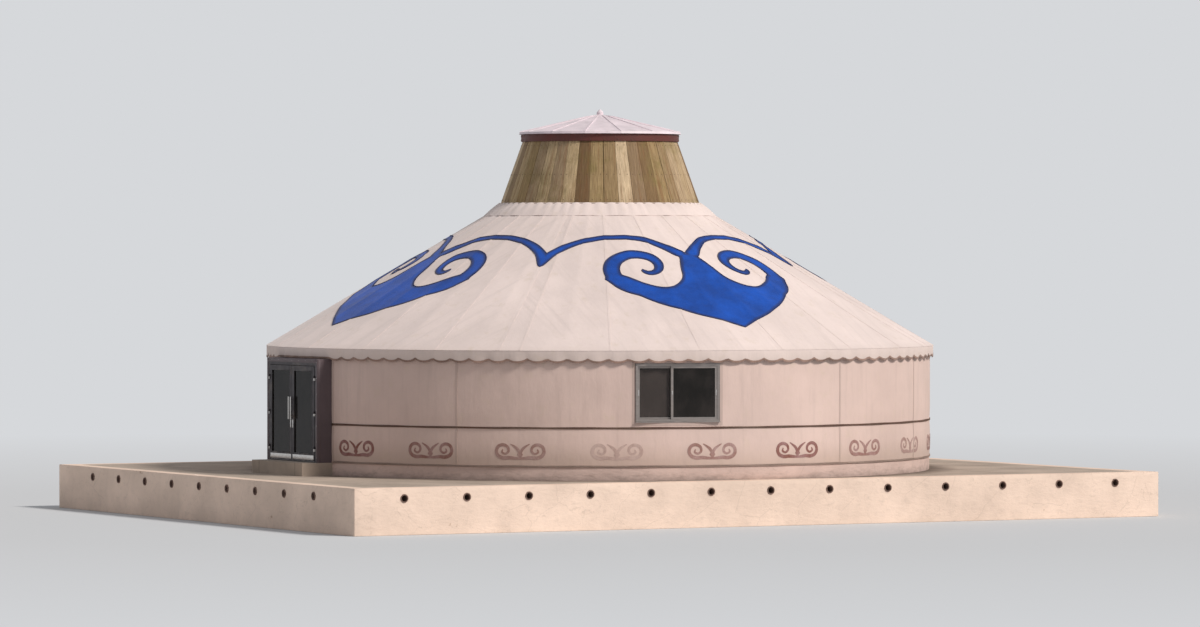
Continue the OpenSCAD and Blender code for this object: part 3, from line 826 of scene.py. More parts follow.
def cord_tree(name):
    """Turns loose edges into round cord."""
    net, source = new_tree(name, {"Radius": 0.006, "Sides": 6, "Step": 0.1})
    curve = net.add("GeometryNodeMeshToCurve", {0: source["Geometry"]})
    stride = {"Curve": curve, "Length": source["Step"]}
    curve = net.add("GeometryNodeResampleCurve", stride, mode="LENGTH")
    outline = {"Resolution": source["Sides"], "Radius": source["Radius"]}
    outline = net.add("GeometryNodeCurvePrimitiveCircle", outline, mode="RADIUS")
    smooth = net.add("GeometryNodeSetShadeSmooth", {0: swept(net, curve, outline)})
    return end_tree(net, source, smooth)


def lath_tree(name):
    """Turns loose edges into flat strips that face outwards."""
    net, source = new_tree(name, {"Width": 0.035, "Thickness": 0.012})
    curve = net.add("GeometryNodeMeshToCurve", {0: source["Geometry"]})
    upright = net.add("GeometryNodeSetCurveNormal", {"Curve": curve}, mode="Z_UP")
    outline = {"Width": source["Thickness"], "Height": source["Width"]}
    outline = net.add("GeometryNodeCurvePrimitiveQuadrilateral", outline, mode="RECTANGLE")
    return end_tree(net, source, swept(net, upright, outline))


def facing_tree(name):
    """Puts a piece on every point, facing out, each a little different."""
    net, source = new_tree(name, {"Piece": None, "Twist": 0.0, "Size spread": 0.0, "Seed": 1})

    def chance(low, high, seed):
        inputs = {2: low, 3: high, "Seed": seed}
        return net.add("FunctionNodeRandomValue", inputs, data_type="FLOAT").outputs[1]

    seed = source["Seed"]
    x, y, _ = net.split(net.add("GeometryNodeInputPosition"))
    bearing = net.math("ARCTAN2", x, net.product(y, -1.0))
    twist = chance(net.product(source["Twist"], -1.0), source["Twist"], seed)
    piece = net.add("GeometryNodeObjectInfo", {"Object": source["Piece"]})
    spread = {
        "Points": source["Geometry"], "Instance": piece.outputs["Geometry"],
        "Rotation": net.join(0.0, twist, bearing),
        "Scale": chance(net.minus(1.0, source["Size spread"]), 1.0, net.math("ADD", seed, 5.0)),
    }
    placed = net.add("GeometryNodeInstanceOnPoints", spread)
    shade = chance(0.0, 1.0, net.math("ADD", seed, 9.0))
    return end_tree(net, source, stored(net, placed, "shade", shade, domain="INSTANCE"))


def loose_object(name, mesh):
    """A new object in the scene, for a piece or a template."""
    piece = bpy.data.objects.new(name, mesh)
    bpy.context.scene.collection.objects.link(piece)
    return piece


def made_plain(piece):
    """Applies every modifier of a piece."""
    shape = piece.evaluated_get(bpy.context.evaluated_depsgraph_get())
    plain = bpy.data.meshes.new_from_object(shape)
    plain.name = piece.name
    old = piece.data
    piece.modifiers.clear()
    piece.data = plain
    bpy.data.meshes.remove(old)
    return piece


def grown(name, mesh, *layers):
    """A flat mesh run through geometry trees in order, then made plain."""
    piece = loose_object(name, mesh)
    for tree, values in layers:
        modifier = piece.modifiers.new(tree.name, "NODES")
        modifier.node_group = tree
        for socket in tree.interface.items_tree:
            if socket.in_out == "INPUT" and socket.name in values:
                modifier[socket.identifier] = values[socket.name]
    return made_plain(piece)


def cord(material, radius, sides, stride):
    """The tree that turns edges into cord, with its values."""
    values = {"Radius": radius, "Sides": sides, "Step": stride, "Material": material}
    return tree_named("Cord along edges", cord_tree), values


def lath(material, width, thickness):
    """The tree that turns edges into laths, with its values."""
    values = {"Width": width, "Thickness": thickness, "Material": material}
    return tree_named("Lath along edges", lath_tree), values


def strung(name, points, edges, layer, slot, *nodes):
    """Cord or lath along some edges, riding on the tent."""
    return riding(grown(name, flat_mesh(name, points, (), edges), layer), slot, *nodes)


def smoothed(piece, crease):
    """Smooth shading, with sharp creases kept."""
    shape = bmesh.new()
    shape.from_mesh(piece.data)
    for edge in shape.edges:
        edge.smooth = len(edge.link_faces) == 2 and edge.calc_face_angle(0.0) < radians(crease)
    for face in shape.faces:
        face.smooth = True
    return reshaped(piece, shape)


def welded(piece):
    """Joins the last column of a ring to its first."""
    shape = bmesh.new()
    shape.from_mesh(piece.data)
    bmesh.ops.remove_doubles(shape, verts=shape.verts[:], dist=0.00001)
    return reshaped(piece, shape)


def reshaped(piece, shape):
    """Puts an edited shape back into its piece."""
    shape.to_mesh(piece.data)
    shape.free()
    return piece


def riding(piece, slot, *nodes, body="yurt"):
    """Puts a piece on its body and in place of its nodes; its slot is not used."""
    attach(piece, body)
    if nodes:
        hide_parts(*nodes)
    return piece


def sewn(piece, thickness, slot, *nodes, offset=-1.0, crease=40.0):
    """A sheet with its thickness, inwards unless told otherwise, riding on the tent."""
    modifier = piece.modifiers.new("Thickness", "SOLIDIFY")
    modifier.thickness = thickness
    modifier.offset = offset
    modifier.use_even_offset = False
    return riding(smoothed(made_plain(piece), crease), slot, *nodes)


def sheet_piece(name, points, faces, cloth, material):
    """A sheet with its cloth map and its finish."""
    mesh = flat_mesh(name, points, faces, (), cloth)
    mesh.materials.append(material)
    return loose_object(name, mesh)


def skinned(shape, rings):
    """Side faces between rings of corners, and a face at each end."""
    rings = [[shape.verts.new(corner) for corner in ring] for ring in rings]
    faces = [shape.faces.new(rings[0]), shape.faces.new(rings[-1])]
    for low, high in zip(rings, rings[1:]):
        for side, following in ring_edges(0, len(low)):
            faces.append(shape.faces.new((low[side], low[following], high[following], high[side])))
    return faces


def plain_mesh(name, shape):
    """A mesh from a shape, facing outwards."""
    bmesh.ops.recalc_face_normals(shape, faces=shape.faces[:])
    mesh = bpy.data.meshes.new(name)
    shape.to_mesh(mesh)
    shape.free()
    return mesh


def solid_piece(name, shape, material, crease=35.0):
    """A piece from a closed shape."""
    mesh = plain_mesh(name, shape)
    mesh.materials.append(material)
    return smoothed(loose_object(name, mesh), crease)


def scattered(name, points, template, material, **values):
    """A template mesh on every point, facing out, as one piece."""
    pattern = loose_object(name + " pattern", template)
    inputs = {"Piece": pattern, "Material": material}
    inputs.update({label.replace("_", " "): value for label, value in values.items()})
    piece = grown(name, flat_mesh(name, points), (tree_named("Pieces facing out", facing_tree), inputs))
    bpy.data.objects.remove(pattern)
    return piece


def box_shape(shape, low, high, bevel, cloth):
    """Adds a rounded box to a shape, mapped along its longest side."""
    sharp = bmesh.ops.create_cube(shape, size=1.0)["verts"]
    size = [top - bottom for bottom, top in zip(low, high)]
    for corner in sharp:
        corner.co = Vector([start + (part + 0.5) * wide for part, start, wide in zip(corner.co, low, size)])
    edges = list({edge for corner in sharp for edge in corner.link_edges})
    made = bmesh.ops.bevel(shape, geom=edges, offset=bevel, segments=2, affect="EDGES", profile=0.6)
    corners_of = {corner for face in made["faces"] for corner in face.verts}
    corners_of |= {corner for corner in sharp if corner.is_valid}
    axis = size.index(max(size))
    other = (axis + 1) % 3
    for face in {face for corner in corners_of for face in corner.link_faces}:
        for loop in face.loops:
            place = loop.vert.co
            loop[cloth].uv = (place[axis], place[other] + place[3 - axis - other])
    return corners_of


# The roof's cloth.


def laid_on_roof(name, points, faces, cloth, sizes, material, edges=(), more=()):
    """A pattern laid on the roof, and put through any further trees."""
    mesh = flat_mesh(name, points, faces, edges, cloth)
    values = {"Pole spacing": 360.0 / sizes.pole_count, "Sag": sizes.roof_sag, "Material": material}
    return grown(name, mesh, (tree_named("Lay on roof", roof_tree), values), *more)


def slope_radius(share):
    """Radius at a share of the slope, from crown to eave."""
    return CROWN_RADIUS + share * (EAVE_RADIUS - CROWN_RADIUS)


def flattened(angle, share):
    """Where points of the roof lie on the flat cloth, in metres."""
    slant = slope_radius(share) / ROOF_COS
    turn = np.radians(angle) * ROOF_COS
    return slant * np.sin(turn), -slant * np.cos(turn)


def gore_shape(centre, low, high, stride, rows, lift):
    """Points, faces and map of a gore between two shares of the slope."""
    columns = steps(centre - GORE / 2, centre + GORE / 2, stride)
    pattern, faces = grid(columns, [low + (high - low) * row / rows for row in range(rows + 1)], True)
    points = [(angle, share, lift) for angle, share in pattern]
    return points, faces, [flattened(angle - centre, share) for angle, share in pattern]


def make_roof_cloth(sizes):
    """Four canvas gores on four felt gores, with their scrolls sewn on."""
    for number, side in enumerate(SIDES):
        centre = number * GORE
        shape = gore_shape(centre, 0.0, 1.0, 0.75, 64, 0.0)
        canvas = laid_on_roof("Roof_canvas_" + side, *shape, sizes, finish("Roof canvas"))
        sewn(canvas, sizes.canvas_thickness, "roof_cover", "roof_cover_" + side)
        shape = gore_shape(centre, 0.005, 0.985, 1.5, 30, -0.038)
        felt = laid_on_roof("Roof_felt_" + side, *shape, sizes, finish("Wool felt"))
        sewn(felt, sizes.felt_thickness, "roof_cover")
        scroll = make_scroll(side, centre, sizes)


# Half outline of a scroll's body, and the arc beyond it: degrees from its middle, share of the slope.
BODY_OUTLINE = (
    (0.0, 0.328), (2.35, 0.329), (4.8, 0.422), (6.66, 0.507), (11.56, 0.567), (17.64, 0.532),
    (21.95, 0.484), (26.46, 0.502), (24.99, 0.542), (16.66, 0.657), (8.04, 0.752), (0.0, 0.842),
)
OUTER_ARC = (
    (2.4, 0.329), (6.1, 0.282), (11.75, 0.234), (18.0, 0.218), (25.5, 0.218),
    (31.75, 0.234), (38.0, 0.27), (43.0, 0.329), (46.0, 0.402),
)
# The curl's line round its centre: degrees turned, distance and width in metres.
CURL_CENTRE = (15.3, 0.432)
SCROLL_REACH = (0.17, 0.87)
CURL_LINE = (
    (-95.0, 0.88, 0.34), (-135.0, 0.77, 0.32), (-180.0, 0.645, 0.29), (-225.0, 0.57, 0.28),
    (-270.0, 0.48, 0.26), (-315.0, 0.37, 0.21), (-360.0, 0.26, 0.16), (-405.0, 0.21, 0.14),
    (-450.0, 0.17, 0.12), (-510.0, 0.09, 0.05),
)


def flowing(points, count):
    """A smooth line through some points, as an array."""
    rows = [np.asarray(point, dtype=float) for point in points]
    rows = [2 * rows[0] - rows[1], *rows, 2 * rows[-1] - rows[-2]]
    line = []
    for a, b, c, d in zip(rows, rows[1:], rows[2:], rows[3:]):
        for step in range(count):
            t = step / count
            square, cube = 2 * a - 5 * b + 4 * c - d, 3 * b - a - 3 * c + d
            line.append(0.5 * (2 * b + (c - a) * t + square * t ** 2 + cube * t ** 3))
    return np.array([*line, rows[-2]])


def from_segment(x, y, start, end):
    """Share along a segment nearest to every grid point, and the distance there."""
    dx, dy = end[0] - start[0], end[1] - start[1]
    x, y = x - start[0], y - start[1]
    part = np.clip((x * dx + y * dy) / (dx * dx + dy * dy + 1e-12), 0.0, 1.0)
    return part, np.hypot(x - part * dx, y - part * dy)


def off_line(x, y, line, half):
    """Distance of every grid point from a line of changing width; below zero is on it."""
    nearest = np.full(x.shape, 1e9)
    for start, end, wide, next_wide in zip(line, line[1:], half, half[1:]):
        part, gap = from_segment(x, y, start, end)
        nearest = np.minimum(nearest, gap - (wide + part * (next_wide - wide)))
    return nearest


def off_area(x, y, outline):
    """Distance of every grid point from a closed outline; below zero is inside."""
    inside = np.zeros(x.shape, dtype=bool)
    nearest = np.full(x.shape, 1e9)
    for start, end in zip(outline, np.roll(outline, -1, axis=0)):
        nearest = np.minimum(nearest, from_segment(x, y, start, end)[1])
        (ax, ay), (bx, by) = start, end
        if abs(by - ay) > 1e-12:
            inside ^= ((ay > y) != (by > y)) & (x < (bx - ax) * (y - ay) / (by - ay) + ax)
    return np.where(inside, -nearest, nearest)


def cut_out(field, columns, rows):
    """The part of a grid where field is below zero: points, faces and the cut edges."""
    points, index, faces, edges = [], {}, [], []

    def numbered(key, point):
        if key not in index:
            index[key] = len(points)
            points.append(point)
        return index[key]

    def crossing(p, q):
        p, q = min(p, q), max(p, q)
        part = min(0.96, max(0.04, field[p] / (field[p] - field[q])))
        x = columns[p[0]] + part * (columns[q[0]] - columns[p[0]])
        y = rows[p[1]] + part * (rows[q[1]] - rows[p[1]])
        return numbered((p, q), (x, y))

    for i in range(len(columns) - 1):
        for j in range(len(rows) - 1):
            ring = ((i, j), (i + 1, j), (i + 1, j + 1), (i, j + 1))
            if all(field[spot] >= 0 for spot in ring):
                continue
            face, cuts = [], []
            for spot, following in zip(ring, ring[1:] + ring[:1]):
                if field[spot] < 0:
                    face.append(numbered(spot, (columns[spot[0]], rows[spot[1]])))
                if (field[spot] < 0) != (field[following] < 0):
                    cuts.append(crossing(spot, following))
                    face.append(cuts[-1])
            faces.append(tuple(reversed(face)))
            if len(cuts) == 2:
                edges.append(tuple(cuts))
    return points, faces, edges


def scroll_field(columns, rows):
    """How far each grid point lies outside the scroll, in metres."""
    x, y = flattened(*np.meshgrid(columns, rows, indexing="ij"))
    x = np.abs(x)
    half = [BODY_OUTLINE[0], *flowing(BODY_OUTLINE[1:-1], 5), BODY_OUTLINE[-1]]
    outline = np.array([flattened(*point) for point in half])
    field = off_area(x, y, np.concatenate([outline, outline[::-1] * (-1.0, 1.0)]))
    # The curl is given for the left lobe, so its mirror image is the right one.
    turned, away, wide = flowing(CURL_LINE, 6).T
    middle = flattened(*CURL_CENTRE)
    line = np.stack([
        middle[0] - away * np.cos(np.radians(turned)), middle[1] + away * np.sin(np.radians(turned))
    ], axis=1)
    field = np.minimum(field, off_line(x, y, line, wide / 2.0))
    arc = [flattened(*point) for point in flowing(OUTER_ARC, 5)]
    part = np.linspace(0.0, 1.0, len(arc))
    width = 0.065 + 0.06 * part ** 5 + 0.06 * (1.0 - part) ** 6
    return np.minimum(field, off_line(x, y, arc, width))


def named_value(piece, name, values):
    """Keeps one value for each point of a piece."""
    layer = piece.data.attributes.new(name, "FLOAT", "POINT")
    layer.data.foreach_set("value", np.array(values, dtype=np.float32))


def make_scroll(side, centre, sizes):
    """One blue scroll, with the dark cord along its edge."""
    columns = steps(-GORE / 2, GORE / 2, 0.375)
    rows = steps(*SCROLL_REACH, 0.0078125)
    field = scroll_field(columns, rows)
    pattern, faces, edges = cut_out(field, columns, rows)
    points = [(angle + centre, share, 0.001) for angle, share in pattern]
    cloth = [flattened(angle, share) for angle, share in pattern]
    blue = finish("Scroll cloth")
    scroll = laid_on_roof("Roof_scroll_" + side, points, faces, cloth, sizes, blue)
    named_value(scroll, "from_edge", [-depth_in(field, columns, rows, *spot) for spot in pattern])
    sewn(scroll, sizes.scroll_thickness, "trim_cloth", offset=1.0)
    navy = finish("Navy piping")
    used, edges = compacted(edges)
    points = [(pattern[end][0] + centre, pattern[end][1], 0.005) for end in used]
    layers = [cord(navy, 0.009, 5, 0.06)]
    piping = laid_on_roof("Scroll_piping_" + side, points, (), None, sizes, navy, edges, layers)
    riding(piping, "trim_cloth")
    return scroll


def depth_in(field, columns, rows, angle, share):
    """The field's value at any point of its grid."""
    x = (angle - columns[0]) / (columns[-1] - columns[0]) * (len(columns) - 1)
    y = (share - rows[0]) / (rows[-1] - rows[0]) * (len(rows) - 1)
    i, j = min(int(x), len(columns) - 2), min(int(y), len(rows) - 2)
    x, y = x - i, y - j
    low = field[i, j] * (1 - x) + field[i + 1, j] * x
    high = field[i, j + 1] * (1 - x) + field[i + 1, j + 1] * x
    return low * (1 - y) + high * y


def make_roof_seams(sizes):
    """Seams down the slope, wider where two gores meet."""
    points, faces, cloth = [], [], []
    pitch = 360.0 / sizes.pole_count
    strips = [(pitch * (2.0 * number + 0.5), 0.018) for number in range(sizes.pole_count // 2)]
    strips += [(GORE * (number + 0.5), 0.034) for number in range(4)]
    shares = [row / 40.0 for row in range(41)]
    for angle, half in strips:
        first = len(points)
        for share in shares:
            spread = degrees(half / slope_radius(share))
            for side in (-1, 1):
                points.append((angle + side * spread, share, 0.0008))
                cloth.append((half * side + angle, share * ROOF_FALL))
        for start in range(first, len(points) - 2, 2):
            faces.append((start, start + 2, start + 3, start + 1))
    seams = laid_on_roof("Roof_seams", points, faces, cloth, sizes, finish("Roof canvas"))
    sewn(seams, 0.0028, "roof_cover", offset=1.0)


def make_valance(sizes):
    """The scalloped strip under the eave, in two lengths."""
    count = round(WALL_RADIUS * 2.0 * pi / sizes.valance_wave)
    top = EAVE_TOP - 0.006
    levels = 7
    for name, start in (("right", 0.0), ("left", 180.0)):
        points, cloth = [], []
        columns = steps(start, start + 180.0, 0.5)
        for angle in columns:
            foot = valance_foot(angle, count)
            for level in range(levels + 1):
                part = level / levels
                z = top - part * (top - foot)
                points.append(on_ring(angle, valance_radius(angle, part, count), z))
                cloth.append((radians(angle) * EAVE_RADIUS, z))
        faces = band(columns, levels + 1)
        valance = sheet_piece("Valance_" + name, points, faces, cloth, finish("Roof canvas"))
        sewn(valance, 0.003, "trim_cloth", "valance")
        hem = make_valance_hem(name, columns, count)


def valance_foot(angle, count):
    """Height of the scalloped edge, trimmed over the door."""
    turn = radians(angle)
    over_door = DOOR_TOP + 0.012
    ease = min(1.0, max(0.0, (abs(EAVE_RADIUS * sin(turn)) - DOOR_HALF - 0.01) / 0.05))
    if cos(turn) < 0.0:
        ease = 1.0
    free = VALANCE_FOOT - 0.012 + 0.05 * (1.0 - abs(sin(turn * count / 2.0))) ** 1.3
    return over_door + (free - over_door) * ease


def valance_radius(angle, part, count):
    """Radius of the valance, whose folds open towards its edge."""
    turn = radians(angle)
    fold = 0.008 * sin(turn * count + 1.3 * sin(5.0 * turn))
    flutter = 0.006 * sin(turn * 41.0 + 2.0 * sin(turn * 7.0))
    return EAVE_RADIUS - 0.004 - 0.012 * part + (fold + flutter) * part


def make_valance_hem(name, columns, count):
    """Dark tape bound over the scalloped edge; its dark tone is partly painted shadow under the valance."""
    points, cloth = [], []
    section = ((0.030, 0.0025), (-0.002, 0.003), (-0.004, -0.002), (-0.002, -0.0065), (0.028, -0.006))
    for angle in columns:
        foot = valance_foot(angle, count)
        for step, (rise, out) in enumerate(section):
            part = 1.0 - rise / (EAVE_TOP - foot)
            points.append(on_ring(angle, valance_radius(angle, part, count) + out, foot + rise))
            cloth.append((radians(angle) * EAVE_RADIUS, step * 0.015))
    faces = band(columns, len(section))
    hem = sheet_piece("Valance_hem_" + name, points, faces, cloth, finish("Hem tape"))
    return sewn(hem, 0.0012, "trim_cloth", offset=1.0)


def make_collar():
    """A gathered skirt round the lantern's foot, with its drawstring."""
    foot_radius, top_radius = reach("roof_collar")[1], LANTERN_FOOT_RADIUS - 0.018
    top = height("roof_collar")[1]
    foot = CROWN_TOP - (foot_radius - CROWN_RADIUS) * ROOF_PITCH
    points, cloth = [], []
    columns = steps(0.0, 360.0, 0.75)
    levels = 8
    for angle in columns:
        turn = radians(angle)
        pleat = sin(60.0 * turn + 1.1 * sin(9.0 * turn))
        slack = sin(23.0 * turn + 2.0 * sin(4.0 * turn))
        for level in range(levels + 1):
            part = level / levels
            gather = 0.007 * pleat * (1.0 - part) ** 0.7 + 0.002 * slack * part
            belly = 0.012 * sin(pi * part)
            radius = top_radius + (foot_radius - 0.004 - top_radius) * part + gather
            z = top - 0.004 + (foot + 0.012 - top) * part + belly + 0.5 * gather + 0.002 * slack * part ** 3
            points.append(on_ring(angle, radius, z))
            cloth.append((turn * foot_radius, part * 0.38))
    faces = band(columns, levels + 1)
    collar = sheet_piece("Roof_collar_skirt", points, faces, cloth, finish("Roof canvas"))
    sewn(welded(collar), 0.005, "roof_cover", "roof_collar")
    ring = [on_ring(angle, top_radius + 0.013, top - 0.026) for angle in range(0, 360, 3)]
    rope = cord(finish("Hair rope"), 0.009, 8, 0.08)
    string = strung("Collar_drawstring", ring, ring_edges(0, len(ring)), rope, "trim_cloth")


# The wall's cloth, lattice, belts and ornaments.


SEAM_ANGLES = (37.5, 106.5, 131.0, 155.5)
TIES = (WALL_FOOT + 0.018, WINDOW_LOW - 0.10)
WINDOW_MARKS = (WINDOW_LOW - OPENING_GAP, WINDOW_HIGH + OPENING_GAP)
ORNAMENT_LEVEL = 1.305
ORNAMENT_FIRST, ORNAMENT_PITCH, ORNAMENT_COUNT = 16.5, 16.1, 10
MOST_FADED = 3
WALL_NODES = (
    "wall_beside_door", "wall_front", "wall_under_windows", "wall_over_windows", "wall_side",
    "wall_quarter", "wall_rear", "wall_back", "wall_over_door",
)


def plane_angle(across, radius):
    """Degrees from an opening's middle to its side, at some radius."""
    return degrees(asin(across / radius))


def laid_on_wall(name, points, faces, cloth, material, radius, slack=0.008, folds=0.008, edges=(), more=()):
    """A pattern laid round the wall, and put through any further trees."""
    mesh = flat_mesh(name, points, faces, edges, cloth)
    values = {
        "Radius": radius, "Low tie": TIES[0], "High tie": TIES[1], "Top tie": WALL_TOP,
        "Slack": slack, "Folds": folds, "Material": material,
    }
    return grown(name, mesh, (tree_named("Lay on wall", wall_tree), values), *more)


def openings(radius):
    """Degrees to the door's side and to the window's two sides."""
    window = plane_angle(WINDOW_HALF + OPENING_GAP, radius)
    return plane_angle(DOOR_HALF + OPENING_GAP, radius), (WINDOW_ANGLE - window, WINDOW_ANGLE + window)


def wall_sheet(radius, side, stride, rise, low, high):
    """Points, faces, map and area of half the wall, less its openings."""
    door, edges = openings(radius)
    columns = steps(0.0, 180.0, stride, door, *edges, *SEAM_ANGLES)
    rows = steps(low, high, rise, *WINDOW_MARKS, DOOR_TOP + OPENING_GAP, *TIES)

    def covered(angle, z):
        angle = side * angle
        if angle < door and z < DOOR_TOP:
            return False
        return not (edges[0] < angle < edges[1] and WINDOW_LOW < z < WINDOW_HIGH)

    pattern, faces = grid([side * angle for angle in columns], rows, side < 0, covered)
    points = [(angle, z, 0.0) for angle, z in pattern]
    cloth = [(radians(angle) * radius, z) for angle, z in pattern]
    area = pi * radius * (high - low) - DOOR_HALF * (DOOR_TOP - low)
    return points, faces, cloth, area - 2.0 * WINDOW_HALF * (WINDOW_HIGH - WINDOW_LOW)


def make_wall_cloth(sizes):
    """Canvas and felt round both halves of the wall."""
    outer = WALL_RADIUS + sizes.canvas_thickness + 0.0006
    lining = WALL_INNER + 0.026 + sizes.felt_thickness
    low, high, felt_high = WALL_FOOT + 0.003, WALL_TOP + 0.045, WALL_TOP - 0.004
    white, wool = finish("Wall canvas"), finish("Wool felt")
    for name, side in (("right", 1), ("left", -1)):
        *shape, area = wall_sheet(outer, side, 0.5, 0.06, low, high)
        canvas = laid_on_wall("Wall_canvas_" + name, *shape, white, outer)
        sewn(canvas, sizes.canvas_thickness, "wall_cover", *WALL_NODES)
        *shape, felt_area = wall_sheet(lining, side, 1.0, 0.15, low, felt_high)
        felt = laid_on_wall("Wall_felt_" + name, *shape, wool, lining, 0.002, 0.002)
        sewn(felt, sizes.felt_thickness, "wall_cover")
        ornament = make_wall_ornament(name, side, outer)
        hems = make_wall_hems(name, side, outer, low, high)


def make_wall_hems(name, side, radius, low, high):
    """Seams down the wall, and hems round the door and the window."""
    points, faces, cloth = [], [], []

    def patch(columns, rows, keep=None):
        first = len(points)
        pattern, made = grid([side * angle for angle in columns], rows, side < 0, keep)
        points.extend((angle, z, 0.0008) for angle, z in pattern)
        cloth.extend((radians(angle) * radius, z) for angle, z in pattern)
        faces.extend(tuple(corner + first for corner in face) for face in made)

    for angle in SEAM_ANGLES:
        half = degrees(0.02 / radius)
        patch([angle - half, angle, angle + half], steps(low, high, 0.05))
    lap = degrees(0.09 / radius)
    patch([180.0 - lap, 180.0 - lap / 2, 180.0], steps(low, high, 0.05))
    door, inner = openings(radius)
    wide = degrees(0.055 / radius)
    patch([door, door + wide / 2, door + wide], steps(low, DOOR_TOP, 0.06))
    columns = steps(inner[0] - wide, inner[1] + wide, 0.6, *inner)
    rows = steps(WINDOW_LOW - 0.056, WINDOW_HIGH + 0.046, 0.06, *WINDOW_MARKS)

    def round_window(angle, z):
        return not (inner[0] < side * angle < inner[1] and WINDOW_LOW < z < WINDOW_HIGH)

    patch(columns, rows, round_window)
    hems = laid_on_wall("Wall_hems_" + name, points, faces, cloth, finish("Hem canvas"), radius)
    return sewn(hems, 0.0035, "wall_cover", offset=1.0)


# One half of a wall ornament: a curl and a leaf, in metres from its middle, with widths.
ORNAMENT_CURL = (
    (0.0, -0.125, 0.030), (0.09, -0.118, 0.042), (0.19, -0.108, 0.050), (0.29, -0.115, 0.052),
    (0.385, -0.080, 0.052), (0.425, -0.005, 0.050), (0.395, 0.080, 0.048), (0.310, 0.115, 0.046),
    (0.225, 0.080, 0.042), (0.205, 0.005, 0.036), (0.260, -0.042, 0.032), (0.322, -0.015, 0.028),
    (0.31, 0.03, 0.018),
)
ORNAMENT_LEAF = ((0.0, -0.03, 0.044), (0.045, 0.04, 0.042), (0.10, 0.085, 0.030), (0.165, 0.125, 0.014))


def ornament_field(columns, rows):
    """How far each point lies outside one ornament, in metres."""
    x, y = np.meshgrid(columns, rows, indexing="ij")
    x = np.abs(x)
    bar, half_wide, half_high = -0.055, 0.055, 0.075
    field = (x / half_wide + np.abs(y - bar) / half_high - 1.0) * 0.044
    for line in (ORNAMENT_CURL, ORNAMENT_LEAF):
        smooth = flowing(line, 4)
        field = np.minimum(field, off_line(x, y, smooth[:, :2], smooth[:, 2] * 0.6))
    return field


def make_wall_ornament(name, side, radius):
    """A row of faded scroll pairs sewn on below the belt."""
    columns = [-0.46 + 0.92 * step / 92 for step in range(93)]
    rows = [-0.15 + 0.30 * step / 30 for step in range(31)]
    pattern, faces, _ = cut_out(ornament_field(columns, rows), columns, rows)
    points, all_faces, cloth, faded = [], [], [], []
    middles = [ORNAMENT_FIRST + ORNAMENT_PITCH * number for number in range(ORNAMENT_COUNT)]
    if side > 0:
        middles.append(180.0)
    for number, middle in enumerate(middles):
        first = len(points)
        faded += [0.82 if number == MOST_FADED else 0.12 + 0.30 * (number * 7 % 5) / 4.0] * len(pattern)
        for across, rise in pattern:
            angle = side * (middle + degrees(across / radius))
            points.append((angle, ORNAMENT_LEVEL + rise, 0.0006))
            cloth.append((radians(angle) * radius, ORNAMENT_LEVEL + rise))
        for face in faces:
            ring = tuple(corner + first for corner in face)
            all_faces.append(ring[::-1] if side > 0 else ring)
    worn = finish("Wall ornament")
    piece = laid_on_wall("Wall_ornaments_" + name, points, all_faces, cloth, worn, radius)
    named_value(piece, "faded", faded)
    return sewn(piece, 0.0025, "trim_cloth", offset=1.0)


def make_belts(sizes):
    """Two belts of three ropes each, tied off at the door posts."""
    points, edges, knots = [], [], []
    radius = WALL_RADIUS + sizes.canvas_thickness + sizes.rope_diameter / 2.0 + 0.003
    start = plane_angle(DOOR_HALF + 0.006, radius)
    angles = steps(start, 360.0 - start, 1.5)
    for tie in TIES:
        for strand in (-1, 0, 1):
            edges += row_edges(len(points), len(angles))
            for angle in angles:
                sway = 0.0025 * sin(radians(angle) * 31.0 + strand)
                points.append(on_ring(angle, radius, tie + strand * sizes.rope_diameter * 1.02 + sway))
        for angle in (start + 0.25, 360.0 - start - 0.25):
            knots.append(on_ring(angle, radius + 0.004, tie))
    rope = finish("Hair rope")
    layer = cord(rope, sizes.rope_diameter / 2.0, 7, 0.12)
    strung("Wall_belts", points, edges, layer, "trim_cloth", "wall_belts")
    knot = bmesh.new()
    bmesh.ops.create_uvsphere(knot, u_segments=10, v_segments=7, radius=0.02)
    for corner in knot.verts:
        x, y, z = corner.co
        bulge = 1.0 + 0.18 * sin(3.0 * atan2(z, x) + 40.0 * y)
        corner.co = Vector((x * 0.85 * bulge, y * 0.8, z * 1.25 * bulge))
    ties = scattered("Belt_knots", knots, plain_mesh("Knot", knot), rope, Twist=0.3, Seed=4)
    riding(smoothed(ties, 60.0), "trim_cloth")


def kept_parts(first, last, holes):
    """Shares of a straight line that lie outside some rectangles."""
    cuts = []
    for low_a, high_a, low_z, high_z in holes:
        enter, leave = 0.0, 1.0
        for start, end, low, high in ((first[0], last[0], low_a, high_a), (first[1], last[1], low_z, high_z)):
            one, two = (low - start) / (end - start), (high - start) / (end - start)
            enter, leave = max(enter, min(one, two)), min(leave, max(one, two))
        if enter < leave:
            cuts.append((enter, leave))
    parts, place = [], 0.0
    for enter, leave in [*sorted(cuts), (1.0, 1.0)]:
        if enter - place > 0.02:
            parts.append((place, enter))
        place = max(place, leave)
    return parts


LATH_THICKNESS = 0.0125
LATH_SLOPE = 50.0


